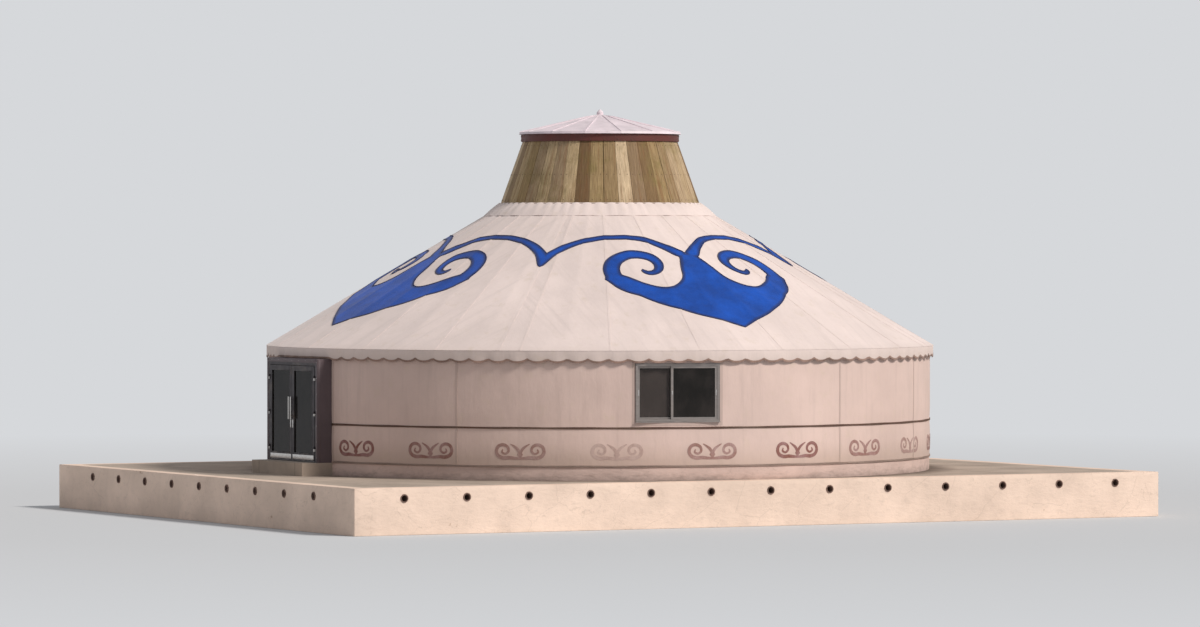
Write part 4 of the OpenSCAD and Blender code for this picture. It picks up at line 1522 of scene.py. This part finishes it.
def make_lattice(sizes):
    """Crossed willow laths in two layers, with a knot at each crossing."""
    middle = WALL_INNER + LATH_THICKNESS
    count = round(2.0 * pi * middle / sizes.lath_gap)
    pitch = 360.0 / count
    low, high = WALL_FOOT + 0.005, WALL_TOP - 0.005
    run = degrees((high - low) / tan(radians(LATH_SLOPE)) / middle)
    window = plane_angle(WINDOW_HALF + 0.012, middle)
    door = plane_angle(DOOR_HALF + 0.004, middle)
    holes = [(turn - door, turn + door, 0.0, DOOR_TOP + 0.004) for turn in (0.0, 360.0)]
    for angle in (WINDOW_ANGLE, 360.0 - WINDOW_ANGLE):
        holes.append((angle - window, angle + window, WINDOW_LOW - 0.012, WINDOW_HIGH + 0.012))
    points, edges = [], []
    for lean, lift in ((1, 0.0065), (-1, -0.0065)):
        for number in range(count):
            ends = [number * pitch, number * pitch + run][::lean]
            for start, end in kept_parts((ends[0], low), (ends[1], high), holes):
                pieces = max(1, round((end - start) * 12))
                edges += row_edges(len(points), pieces + 1)
                for step in range(pieces + 1):
                    part = start + (end - start) * step / pieces
                    angle = ends[0] + (ends[1] - ends[0]) * part
                    points.append((angle, low + (high - low) * part, lift))
    willow = finish("Willow lath")
    layers = [lath(willow, sizes.lath_width, LATH_THICKNESS)]
    lattice = laid_on_wall("Lattice", points, (), None, willow, middle, 0.0, 0.0, edges, layers)
    riding(lattice, "poles_wood")
    knots = []
    for number in range(count):
        for cross in range(-5, 6):
            share = (cross * pitch + run) / (2.0 * run)
            angle, z = number * pitch + run * share, low + (high - low) * share
            if not any(a < angle < b and c < z < d for a, b, c, d in holes) and 0.02 < share < 0.98:
                knots.append(on_ring(angle, WALL_INNER + 0.0005, z))
    shape = bmesh.new()
    bmesh.ops.create_cone(shape, cap_ends=True, segments=6, radius1=0.009, radius2=0.005, depth=0.006)
    for corner in shape.verts:
        corner.co = Vector((corner.co.x, corner.co.z, -corner.co.y))
    spread = {"Twist": 0.5, "Size_spread": 0.25, "Seed": 7}
    ties = scattered("Lattice_knots", knots, plain_mesh("Rawhide knot", shape), finish("Rawhide"), **spread)
    riding(ties, "poles_wood")


# The lantern and its cap.


def lantern_radius(z):
    """Outer radius of the lantern's boards at a height."""
    return LANTERN_FOOT_RADIUS - LANTERN_TAPER * (z - LANTERN_FOOT) / (LANTERN_TOP - LANTERN_FOOT)


def lantern_board(count):
    """One tapered board, slightly cupped, standing at the front."""
    shape = bmesh.new()
    cloth = shape.loops.layers.uv.new("cloth")
    rings = []
    for step in range(7):
        z = LANTERN_FOOT + 0.001 + (LANTERN_TOP - LANTERN_FOOT - 0.004) * step / 6.0
        face = lantern_radius(z) - 0.009
        half = face * tan(pi / count) - 0.0035
        section = (
            (-half, 0.003), (-half * 0.9, 0.0), (0.0, 0.0025), (half * 0.9, 0.0), (half, 0.003),
            (half, 0.022), (-half, 0.022),
        )
        rings.append([(x, -face + inward + 0.001, z) for x, inward in section])
    for face in skinned(shape, rings):
        for loop in face.loops:
            loop[cloth].uv = (loop.vert.co.x, loop.vert.co.z)
    return plain_mesh("Lantern board", shape)


def dome(name, radius, rise, sides=8):
    """A low nail or rivet head that faces the front."""
    shape = bmesh.new()
    turns = [2.0 * pi * side / sides for side in range(sides)]
    skinned(shape, [
        [(out * radius * cos(turn), -away * rise, out * radius * sin(turn)) for turn in turns]
        for out, away in ((1.0, -0.3), (1.0, 0.25), (0.75, 0.75), (0.3, 1.0))
    ])
    return plain_mesh(name, shape)


def make_lantern(sizes):
    """Weathered boards nailed round inner hoops, and rivets round the ring."""
    count = sizes.lantern_boards
    boards = finish("Weathered boards")
    hub = [on_ring(360.0 * number / count, 0.001, 0.0) for number in range(count)]
    wall = scattered("Lantern_boards", hub, lantern_board(count), boards, Twist=0.0007, Seed=11)
    riding(smoothed(wall, 25.0), "lantern_wood", "lantern_wall")
    levels = (LANTERN_FOOT + 0.14, LANTERN_FOOT + 0.60, LANTERN_TOP - 0.07)
    points, edges, nails = [], [], []
    for z in levels:
        edges += ring_edges(len(points), 120)
        points += [on_ring(3 * step, lantern_radius(z) - 0.037, z) for step in range(120)]
    for z in (levels[0] + 0.005, levels[1] + 0.005, levels[2] - 0.005):
        for number in range(count):
            for side in (-0.28, 0.28):
                nails.append(on_ring(360.0 * (number + side) / count, lantern_radius(z) - 0.007, z))
    hoop = lath(finish("Willow lath"), 0.06, 0.010)
    strung("Lantern_hoops", points, edges, hoop, "lantern_wood")
    iron = finish("Rusty iron")
    riding(scattered("Lantern_nails", nails, dome("Nail head", 0.008, 0.004, 6), iron, Seed=3), "ring_metal")
    (low, high), out = height("lantern_ring"), reach("lantern_ring")[1]
    rivets = [on_ring(10.0 * number, out, high - 0.03) for number in range(36)]
    rivets += [on_ring(10.0 * number + 5.0, out, low + 0.03) for number in range(36)]
    riding(scattered("Ring_rivets", rivets, dome("Rivet head", 0.011, 0.006), iron, Seed=3), "ring_metal")


CAP_SEAMS = 14
CAP_DENTS = 26
# Shares of the way up the cap, and how far a seam is raised there.
CAP_ROWS = ((0.0, 0.0), *[(share, 1.0) for share in (0.012, 0.06, 0.18, 0.32, 0.46, 0.6, 0.74, 0.87)],
            (0.97, 0.0), (1.0, 0.0))
# Degrees from one seam to the next where the sheet needs a column.
CAP_COLUMNS = (0.0, 0.35, 0.5, 1.3, 5.0, 9.0, 12.857, 16.714, 20.7, 24.414, 25.214, 25.364)


def make_cap():
    """A cone of painted sheet with standing seams, dents and a turned-down edge."""
    low = height("lantern_cap")[0]
    rim_radius = reach("lantern_cap")[1]
    apex = height("cap_knob")[0]
    pitch, half = 360.0 / CAP_SEAMS, 180.0 / CAP_SEAMS
    edge = 0.04
    turns = [360.0 * number / CAP_SEAMS for number in range(CAP_SEAMS)]
    columns = {round(turn + step, 4) for turn in turns for step in CAP_COLUMNS}
    columns = sorted(angle for angle in columns if angle < 359.99) + [360.0]
    tip_radius = 0.062
    rng = random.Random(5)
    dents = [
        (rng.uniform(0, 360), rng.uniform(0.1, 0.9), rng.uniform(0.003, 0.008))
        for _ in range(CAP_DENTS)
    ]
    points, cloth = [], []
    for angle in columns:
        off = abs((angle + half) % pitch - half)
        ridge = 0.014 * max(0.0, 1.0 - max(0.0, off - 0.4) / 0.15)
        points.append(on_ring(angle, rim_radius - 0.003, low + 0.004))
        cloth.append((angle * 0.02, -0.04))
        for share, raised in CAP_ROWS[1:]:
            lift = ridge * raised
            for middle, centre, depth in dents:
                gap = min(abs(angle - middle), 360.0 - abs(angle - middle)) / 9.0
                lift -= depth * exp(-gap ** 2 - ((share - centre) / 0.12) ** 2) * (1.0 - share)
            z = low + edge + (apex - low - edge) * share + lift
            points.append(on_ring(angle, rim_radius + (tip_radius - rim_radius) * share, z))
            cloth.append((angle * 0.02, share * 1.4))
    faces = band(columns, len(CAP_ROWS), inwards=True)
    cap = sheet_piece("Cap_sheet", points, faces, cloth, finish("Painted cap"))
    sewn(welded(cap), 0.002, "cap_metal", "lantern_cap", crease=30.0)
    points, edges = [], []
    for number in range(CAP_SEAMS):
        edges += row_edges(len(points), 2)
        for radius, z in ((1.40, low + 0.012), (0.05, apex - 0.028)):
            points.append(on_ring(360.0 * (number + 0.5) / CAP_SEAMS, radius, z))
    rib = lath(finish("Willow lath"), 0.04, 0.03)
    strung("Cap_ribs", points, edges, rib, "lantern_wood")


# Doors and windows.


LOCK_HEIGHT = 1.7
SILL_HEIGHT = 1.05


def bars(name, rows, material, slot, bevel, body="yurt"):
    """Several rounded bars, from their low and high corners, as one piece."""
    shape = bmesh.new()
    cloth = shape.loops.layers.uv.new("cloth")
    for low, high in rows:
        box_shape(shape, low, high, bevel, cloth)
    return riding(solid_piece(name, shape, material), slot, body=body)


def frame_bars(x0, x1, z0, z1, wide, y0, y1):
    """Four bars round a rectangle, as low and high corners."""
    return [
        ((x0, y0, z0), (x0 + wide, y1, z1)), ((x1 - wide, y0, z0), (x1, y1, z1)),
        ((x0 + wide, y0, z0), (x1 - wide, y1, z0 + wide)),
        ((x0 + wide, y0, z1 - wide), (x1 - wide, y1, z1)),
    ]


def mirrored(rows, side):
    """The same bars on the other side of the door's middle."""
    if side > 0:
        return rows
    return [((-high[0], low[1], low[2]), (-low[0], high[1], high[2])) for low, high in rows]


def make_leaf_fittings(name, side):
    """Glazing beads, seals, lock, kick plate and screws of one leaf."""
    low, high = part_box("door_glass_right")
    front, back = low.y - 0.0185, high.y + 0.0185
    middle = low.x - 0.0375
    body = "leaf_" + name

    def on_leaf(title, rows, material, slot, bevel):
        bars(title + name, mirrored(rows, side), finish(material), slot, bevel, body)

    def round_pane(inset, wide, *depths):
        return frame_bars(low.x + inset, high.x - inset, low.z + inset, high.z - inset, wide, *depths)

    beads = round_pane(0.0005, 0.014, front - 0.0025, low.y)
    beads += round_pane(0.0005, 0.014, high.y, back + 0.0025)
    on_leaf("Leaf_beads_", beads, "Dark anodised metal", "door_metal", 0.0012)
    seals = round_pane(0.014, 0.005, front + 0.006, low.y) + round_pane(0.014, 0.005, high.y, back - 0.006)
    foot_low = (low.x - 0.066, front + 0.004, low.z - 0.1155)
    seals.append((foot_low, (high.x + 0.05, front + 0.009, low.z - 0.108)))
    on_leaf("Leaf_seals_", seals, "Black rubber", "door_metal", 0.0008)
    plates = [
        ((middle - 0.017, front - 0.0035, LOCK_HEIGHT - 0.07), (middle + 0.017, front, LOCK_HEIGHT + 0.07)),
        ((middle - 0.017, back, LOCK_HEIGHT - 0.07), (middle + 0.017, back + 0.0035, LOCK_HEIGHT + 0.07)),
        ((middle - 0.006, front - 0.007, LOCK_HEIGHT - 0.025), (middle + 0.006, front - 0.003, LOCK_HEIGHT)),
        ((low.x - 0.05, front - 0.0018, low.z - 0.098), (high.x + 0.05, front, low.z - 0.014)),
    ]
    on_leaf("Leaf_plates_", plates, "Brushed steel", "handle_steel", 0.0008)
    screws = [
        (side * (low.x - 0.04 + 0.166 * step), front - 0.0018, z)
        for step in range(6) for z in (low.z - 0.086, low.z - 0.026)
    ]
    screws += [(side * middle, front - 0.0035, LOCK_HEIGHT + step) for step in (-0.058, 0.058)]
    screw_heads("Leaf_screws_" + name, screws, 0.0045, 0.002, body)


def make_door_fittings():
    """Fittings of both leaves, strips on the surround and ribs on the threshold."""
    for name, side in (("right", 1), ("left", -1)):
        make_leaf_fittings(name, side)
    low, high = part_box("door_surround")
    wide = 0.07
    x, top, front = high.x - wide / 2.0, high.z - 0.009, low.y - 0.004
    strips = [((x - 0.026, front, low.z + 0.01), (x + 0.026, low.y - 0.0002, top))]
    for y in (low.y + 0.02, high.y - 0.06):
        strips.append(((high.x - 0.0002, y, low.z + 0.01), (high.x + 0.003, y + 0.04, top)))
    strips += mirrored(strips, -1)
    strips.append(((-high.x + wide, front, high.z - 0.061), (high.x - wide, low.y - 0.0002, top)))
    sheet = finish("Painted door sheet")
    bars("Surround_strips", strips, sheet, "surround_metal", 0.0015)
    screws = [(side * x, front, 1.12 + 0.28 * step) for side in (-1, 1) for step in range(7)]
    screws += [(-0.84 + 0.28 * step, front, high.z - 0.035) for step in range(7)]
    screw_heads("Surround_screws", screws, 0.006, 0.0028)
    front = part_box("door_frame")[0].y + 0.006
    tread = [
        ((-0.9, front + 0.012 * step, SILL_HEIGHT), (0.9, front + 0.006 + 0.012 * step, SILL_HEIGHT + 0.0025))
        for step in range(5)
    ]
    bars("Threshold_ribs", tread, finish("Brushed steel"), "door_metal", 0.0008)


def screw_heads(name, places, radius, rise, body="yurt"):
    """Screw heads at several places, all facing the front."""
    template = dome(name + " head", radius, rise)
    shape = bmesh.new()
    for place in places:
        first = len(shape.verts)
        shape.from_mesh(template)
        shape.verts.ensure_lookup_table()
        for corner in shape.verts[first:]:
            corner.co += Vector(place)
    bpy.data.meshes.remove(template)
    steel = finish("Brushed steel")
    riding(solid_piece(name, shape, steel, 50.0), "handle_steel", body=body)


def window_bars(name, rows, material, slot):
    """Bars given along, out of and up the window, turned onto both windows."""
    turn = radians(WINDOW_ANGLE)
    out = Vector((sin(turn), -cos(turn), 0.0))
    along = Vector((cos(turn), sin(turn), 0.0))
    shape = bmesh.new()
    cloth = shape.loops.layers.uv.new("cloth")
    for low, high in rows:
        for side in (1, -1):
            for corner in box_shape(shape, low, high, 0.001, cloth):
                place = along * corner.co.x + out * corner.co.y + Vector((0.0, 0.0, corner.co.z))
                corner.co = Vector((side * place.x, place.y, place.z))
    riding(solid_piece(name, shape, material), slot)


def make_window_fittings():
    """Seals, lips, sills and grips of both windows."""
    inner, outer = WALL_INNER + 0.01, WINDOW_FACE
    bar, sash = 0.045, 0.04
    half = WINDOW_HALF - bar - 0.0003
    lap = -half * 0.14
    foot, top = WINDOW_LOW + bar, WINDOW_HIGH - bar
    low, high = foot + sash + 0.0006, top - sash - 0.0006
    panes = (
        (-half + sash, lap - sash / 2, inner + 0.028), (lap + sash / 2, half - sash, outer - 0.022)
    )
    seals = []
    for first, last, face in panes:
        seals += frame_bars(first, last, low, high, 0.006, face, face + 0.007)
        seals += frame_bars(first, last, low, high, 0.006, face - 0.014, face - 0.006)
    seals.append(((lap - 0.004, inner + 0.0405, foot + 0.004), (lap + 0.004, outer - 0.0405, top - 0.004)))
    window_bars("Window_seals", seals, finish("Black rubber"), "window_metal")
    lips = []
    for z0, z1 in ((foot - 0.001, foot + 0.006), (top - 0.006, top + 0.001)):
        for place in (inner + 0.001, inner + 0.0445, outer - 0.007):
            lips.append(((-half, place, z0), (half, place + 0.004, z1)))
    wide = WINDOW_HALF + 0.004
    lips.append(((-wide, outer + 0.0002, WINDOW_LOW - 0.004), (wide, outer + 0.03, WINDOW_LOW + 0.010)))
    wide = WINDOW_HALF - 0.004
    lips += frame_bars(-wide, wide, WINDOW_LOW + 0.012, WINDOW_HIGH - 0.004, 0.008, outer, outer + 0.004)
    window_bars("Window_lips", lips, finish("Anodised metal"), "window_metal")
    middle = (WINDOW_LOW + WINDOW_HIGH) / 2.0
    grips = [
        ((lap - 0.012, outer - 0.0102, middle - 0.03), (lap + 0.012, outer - 0.004, middle + 0.03)),
        ((lap - 0.006, outer - 0.006, middle - 0.012), (lap + 0.006, outer + 0.006, middle + 0.012)),
        ((half - 0.028, outer - 0.0102, middle - 0.05), (half - 0.012, outer - 0.004, middle + 0.05)),
        ((-half + 0.012, inner + 0.04, middle - 0.05), (-half + 0.028, inner + 0.045, middle + 0.05)),
    ]
    window_bars("Window_grips", grips, finish("Brushed steel"), "handle_steel")


# The platform and the floor.


def pipe_middles(along, away, out):
    """Where the drain pipes come through one face of the platform."""
    pipes = node_points("drain_pipes")
    near = pipes[pipes[:, :2] @ away > out - 0.01]
    places = np.sort(near[:, :2] @ along)
    groups = np.split(places, np.where(np.diff(places) > 0.3)[0] + 1)
    return [float(group.mean()) for group in groups if len(group)]


def make_platform_coat():
    """Uneven plaster on the platform's four faces, worked round the pipes."""
    pipe_low, pipe_high = height("drain_pipes")
    level, clear = (pipe_low + pipe_high) / 2.0, (pipe_high - pipe_low) / 2.0 + 0.006
    top = PLATFORM_TOP - 0.003
    half_x, half_y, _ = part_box("platform_wall_back")[1]
    for number, name in enumerate(SIDES):
        half, out = (half_y, half_x) if number % 2 else (half_x, half_y)
        half += 0.006
        turn = radians(90.0 * number)
        along = np.array((cos(turn), sin(turn)))
        away = np.array((sin(turn), -cos(turn)))
        columns = steps(-half, half, 0.05)
        rows = steps(0.004, top, 0.04)
        across, up = np.meshgrid(columns, rows, indexing="ij")
        field = np.full(across.shape, -0.5)
        for middle in pipe_middles(along, away, out):
            field = np.maximum(field, clear - np.hypot(across - middle, up - level))
        pattern, faces, _ = cut_out(field, columns, rows)
        points = []
        for spot, rise in pattern:
            x, y = along * spot
            bulk = 0.5 + 0.5 * noise.noise(Vector((x + 270.0 * number, y, rise)) * 1.3)
            lumps = noise.noise(Vector((x, y + 9.0, rise)) * 6.0)
            edge = min(1.0, (top - rise) / 0.05, (half - abs(spot)) / 0.05)
            depth = 0.004 + max(0.0, edge) ** 0.5 * (0.004 + 0.007 * bulk + 0.002 * lumps)
            points.append((*(along * spot + away * (out + depth)), rise))
        faces = [face[::-1] for face in faces]
        coat = sheet_piece("Platform_coat_" + name, points, faces, pattern, finish("Whitewashed coat"))
        sewn(coat, 0.0035, "masonry", crease=50.0)


def make_floor(sizes):
    """Staggered floor boards, cut to the round of the wall's foot."""
    shape = bmesh.new()
    cloth = shape.loops.layers.uv.new("cloth")
    edge = FLOOR_RADIUS - 0.004
    wide = sizes.floor_board
    rng = random.Random(8)
    count = int(edge / wide) + 1
    for number in range(-count, count):
        x0 = max(-edge + 0.01, number * wide + 0.0015)
        x1 = min(edge - 0.01, (number + 1) * wide - 0.0015)
        if x1 - x0 < 0.02:
            continue
        round_ends = sqrt(edge ** 2 - x0 ** 2), sqrt(edge ** 2 - x1 ** 2)
        place = -max(round_ends) + rng.uniform(0.8, 2.6)
        starts = [tuple(-end for end in round_ends)]
        ends = []
        while place < min(round_ends) - 0.5:
            ends.append((place - 0.0012, place - 0.0012))
            starts.append((place + 0.0012, place + 0.0012))
            place += rng.uniform(2.2, 3.4)
        for near, far in zip(starts, [*ends, round_ends]):
            drop = rng.uniform(0.0, 0.0012)
            add_board(shape, cloth, (x0, x1), near, far, FLOOR_TOP - drop, rng.random() * 40.0)
    boards = solid_piece("Floor_boards", shape, finish("Worn boards"), 25.0)
    riding(boards, "floor_wood", "floor")


def add_board(shape, cloth, sides, near, far, top, tint):
    """One floor board with eased edges; its two ends may be cut askew."""
    x0, x1 = sides
    rings = []
    for inset, z in ((0.0, top - 0.028), (0.0, top - 0.0015), (0.0015, top)):
        rings.append([
            (x0 + inset, near[0] + inset, z), (x1 - inset, near[1] + inset, z),
            (x1 - inset, far[1] - inset, z), (x0 + inset, far[0] - inset, z),
        ])
    for face in skinned(shape, rings):
        for loop in face.loops:
            loop[cloth].uv = (loop.vert.co.y + tint, loop.vert.co.x + tint)


def make_pole_ties(sizes):
    """Hair-rope lashings where each roof pole meets the wall ring."""
    points, edges = [], []
    turns, cord_radius, sides = 3, 0.006, 8
    poles = node_points("roof_poles")
    near = np.abs(np.hypot(poles[:, 0], poles[:, 1]) - WALL_INNER) < 0.12
    pole_top = float(poles[near, 2].max())
    for number in range(sizes.pole_count):
        angle = 360.0 / sizes.pole_count * (number + 0.5)
        for turn in range(turns):
            out = WALL_INNER - 0.035 - 0.016 * turn
            top = pole_top + (WALL_INNER - out) * ROOF_PITCH
            low = top - 0.085 / ROOF_COS - 0.02
            half = degrees(0.037 / out)
            edges += ring_edges(len(points), sides)
            for share in range(sides):
                part = 2.0 * pi * share / sides
                corner = max(abs(cos(part)), abs(sin(part)))
                x, z = cos(part) / corner, sin(part) / corner
                points.append(on_ring(angle + half * x, out, (top + low) / 2.0 + z * (top - low) / 2.0))
    strung("Pole_ties", points, edges, cord(finish("Hair rope"), cord_radius, 5, 0.04), "trim_cloth")


# Camera, floor and light.


CAMERA_BEARING, CAMERA_RISE, CAMERA_DISTANCE = 62.0, 0.7, 112.0
AIM = (0.0, 0.0, 3.62)
FRAME_WIDTH = 21.9
SUN_BEARING, SUN_RISE, SUN_STRENGTH = 122.0, 40.0, 2.65
SKY_STRENGTH = 0.37
STAGE_TONE = (214, 216, 219)


def towards(bearing, rise):
    """A direction from the tent, in degrees from the door and above level."""
    bearing, rise = radians(bearing), radians(rise)
    return Vector((sin(bearing) * cos(rise), -cos(bearing) * cos(rise), sin(rise)))


def set_camera():
    """A long lens from the right of the door, just above the eave."""
    back = towards(CAMERA_BEARING, CAMERA_RISE)
    camera = bpy.data.cameras.new("Camera")
    camera.sensor_width = 36.0
    camera.lens = camera.sensor_width * CAMERA_DISTANCE / FRAME_WIDTH
    camera.clip_start = 1.0
    camera.clip_end = 2000.0
    holder = loose_object("Camera", camera)
    holder.location = Vector(AIM) + back * CAMERA_DISTANCE
    holder.rotation_euler = (-back).to_track_quat("-Z", "Y").to_euler()
    bpy.context.scene.camera = holder


def seen_directly(net, far, lit, backdrop, output):
    """Ends a tree: lit for most rays, and the backdrop where it is seen."""
    path = net.add("ShaderNodeLightPath").outputs
    seen = net.math("MAXIMUM", path["Is Camera Ray"], path["Is Glossy Ray"])
    seen = net.math("MAXIMUM", seen, path["Is Transmission Ray"])
    net.add(output, {0: net.add("ShaderNodeMixShader", {0: net.product(far, seen), 1: lit, 2: backdrop})})


def floor_finish(net, place, colour):
    """Pale floor that passes into the backdrop's colour."""
    x, y, _ = net.split(place)
    lit = net.add("ShaderNodeBsdfDiffuse", {"Color": rgba(darker(colour, 0.97))})
    glow = net.add("ShaderNodeEmission", {"Color": rgba(colour), "Strength": 1.0})
    seen_directly(net, net.span(net.across(x, y), 14.0, 46.0), lit, glow, "ShaderNodeOutputMaterial")


def build_stage():
    """The floor, the world behind it and one soft sun."""
    colour = tuple(linear(part) for part in STAGE_TONE)
    ground = bmesh.new()
    bmesh.ops.create_circle(ground, cap_ends=True, segments=96, radius=900.0)
    mesh = bpy.data.meshes.new("Studio floor")
    ground.to_mesh(mesh)
    ground.free()
    mesh.materials.append(made_finish("Studio floor", floor_finish, colour))
    loose_object("Studio_floor", mesh)
    world = bpy.data.worlds.new("Studio")
    world.use_nodes = True
    world.node_tree.nodes.clear()
    net = Net(world.node_tree)
    sky = {"Color": (0.94, 0.96, 1.0, 1.0), "Strength": SKY_STRENGTH}
    backdrop = net.add("ShaderNodeBackground", {"Color": rgba(colour), "Strength": 1.0})
    light = net.add("ShaderNodeBackground", sky)
    seen_directly(net, 1.0, light, backdrop, "ShaderNodeOutputWorld")
    bpy.context.scene.world = world
    lamp = bpy.data.lights.new("Sun", "SUN")
    lamp.energy = SUN_STRENGTH
    lamp.color = (1.0, 0.955, 0.9)
    lamp.angle = radians(12.0)
    sun = loose_object("Sun", lamp)
    sun.rotation_euler = towards(SUN_BEARING, SUN_RISE).to_track_quat("Z", "Y").to_euler()
    bpy.context.scene.view_settings.view_transform = "Standard"


# Operators, in the order that they run.


class TENT_OT_stage(bpy.types.Operator):
    """Set the camera, the pale floor and the light"""

    bl_idname = "felt_tent.stage"
    bl_label = "Stage and camera"

    def execute(self, context):
        set_camera()
        build_stage()
        return {"FINISHED"}


class TENT_OT_frame_finishes(bpy.types.Operator):
    """Give every frame node its real finish"""

    bl_idname = "felt_tent.frame_finishes"
    bl_label = "Frame finishes"

    def execute(self, context):
        finish_frame()
        return {"FINISHED"}


class TENT_OT_roof_cloth(bpy.types.Operator):
    """Lay the canvas and felt gores over the poles and sew the scrolls on"""

    bl_idname = "felt_tent.roof_cloth"
    bl_label = "Roof canvas and scrolls"

    def execute(self, context):
        make_roof_cloth(context.scene.tent_sizes)
        return {"FINISHED"}


class TENT_OT_roof_seams(bpy.types.Operator):
    """Sew the seams of the roof canvas"""

    bl_idname = "felt_tent.roof_seams"
    bl_label = "Roof seams"

    def execute(self, context):
        make_roof_seams(context.scene.tent_sizes)
        return {"FINISHED"}


class TENT_OT_valance(bpy.types.Operator):
    """Hang the scalloped valance and its hem from the eave"""

    bl_idname = "felt_tent.valance"
    bl_label = "Valance"

    def execute(self, context):
        make_valance(context.scene.tent_sizes)
        return {"FINISHED"}


class TENT_OT_collar(bpy.types.Operator):
    """Gather the canvas skirt round the lantern's foot"""

    bl_idname = "felt_tent.collar"
    bl_label = "Collar skirt"

    def execute(self, context):
        make_collar()
        return {"FINISHED"}


class TENT_OT_lattice(bpy.types.Operator):
    """Set the lattice laths and their knots inside the wall"""

    bl_idname = "felt_tent.lattice"
    bl_label = "Lattice"

    def execute(self, context):
        make_lattice(context.scene.tent_sizes)
        return {"FINISHED"}


class TENT_OT_wall_cloth(bpy.types.Operator):
    """Hang the felt and the canvas round the lattice, with hems and ornaments"""

    bl_idname = "felt_tent.wall_cloth"
    bl_label = "Wall canvas and felt"

    def execute(self, context):
        make_wall_cloth(context.scene.tent_sizes)
        return {"FINISHED"}


class TENT_OT_belts(bpy.types.Operator):
    """Tie the two rope belts round the wall"""

    bl_idname = "felt_tent.belts"
    bl_label = "Belts"

    def execute(self, context):
        make_belts(context.scene.tent_sizes)
        return {"FINISHED"}


class TENT_OT_lantern(bpy.types.Operator):
    """Stand the weathered boards round the lantern's hoops"""

    bl_idname = "felt_tent.lantern"
    bl_label = "Lantern"

    def execute(self, context):
        make_lantern(context.scene.tent_sizes)
        return {"FINISHED"}


class TENT_OT_cap(bpy.types.Operator):
    """Seam the painted sheet cap over its ribs"""

    bl_idname = "felt_tent.cap"
    bl_label = "Cap"

    def execute(self, context):
        make_cap()
        return {"FINISHED"}


class TENT_OT_door_fittings(bpy.types.Operator):
    """Fit beads, seals, locks and plates to the doors"""

    bl_idname = "felt_tent.door_fittings"
    bl_label = "Door fittings"

    def execute(self, context):
        make_door_fittings()
        return {"FINISHED"}


class TENT_OT_window_fittings(bpy.types.Operator):
    """Fit seals, lips, latches and sills to the windows"""

    bl_idname = "felt_tent.window_fittings"
    bl_label = "Window fittings"

    def execute(self, context):
        make_window_fittings()
        return {"FINISHED"}


class TENT_OT_floor(bpy.types.Operator):
    """Lay the floor boards inside the wall"""

    bl_idname = "felt_tent.floor"
    bl_label = "Floor boards"

    def execute(self, context):
        make_floor(context.scene.tent_sizes)
        return {"FINISHED"}


class TENT_OT_pole_ties(bpy.types.Operator):
    """Lash the roof poles to the wall ring"""

    bl_idname = "felt_tent.pole_ties"
    bl_label = "Pole ties"

    def execute(self, context):
        make_pole_ties(context.scene.tent_sizes)
        return {"FINISHED"}


class TENT_OT_platform_coat(bpy.types.Operator):
    """Coat the platform's faces with uneven whitewashed plaster"""

    bl_idname = "felt_tent.platform_coat"
    bl_label = "Platform coat"

    def execute(self, context):
        make_platform_coat()
        return {"FINISHED"}


STEPS = (
    TENT_OT_stage,
    TENT_OT_frame_finishes,
    TENT_OT_roof_cloth,
    TENT_OT_roof_seams,
    TENT_OT_valance,
    TENT_OT_collar,
    TENT_OT_lattice,
    TENT_OT_wall_cloth,
    TENT_OT_belts,
    TENT_OT_lantern,
    TENT_OT_cap,
    TENT_OT_door_fittings,
    TENT_OT_window_fittings,
    TENT_OT_floor,
    TENT_OT_pole_ties,
    TENT_OT_platform_coat,
)


class TENT_PT_panel(bpy.types.Panel):
    """The tent's pieces, sizes and colours"""

    bl_idname = "TENT_PT_panel"
    bl_label = "Round felt tent"
    bl_space_type = "VIEW_3D"
    bl_region_type = "UI"
    bl_category = "Felt tent"

    def draw(self, context):
        for step in STEPS:
            self.layout.operator(step.bl_idname)
        for group in (context.scene.tent_sizes, context.scene.tent_colours):
            box = self.layout.box()
            for name in group.bl_rna.properties.keys():
                if name not in ("rna_type", "name"):
                    box.prop(group, name)


CLASSES = (TentSizes, TentColours, *STEPS, TENT_PT_panel)


def register():
    """Adds the classes and the scene's settings."""
    for kind in CLASSES:
        bpy.utils.register_class(kind)
    bpy.types.Scene.tent_sizes = PointerProperty(type=TentSizes)
    bpy.types.Scene.tent_colours = PointerProperty(type=TentColours)


def unregister():
    """Takes them away again."""
    del bpy.types.Scene.tent_colours
    del bpy.types.Scene.tent_sizes
    for kind in reversed(CLASSES):
        bpy.utils.unregister_class(kind)


def main():
    """Makes everything, one operator after another."""
    register()
    for step in STEPS:
        group, action = step.bl_idname.split(".")
        getattr(getattr(bpy.ops, group), action)()


if __name__ == "__main__":
    main()
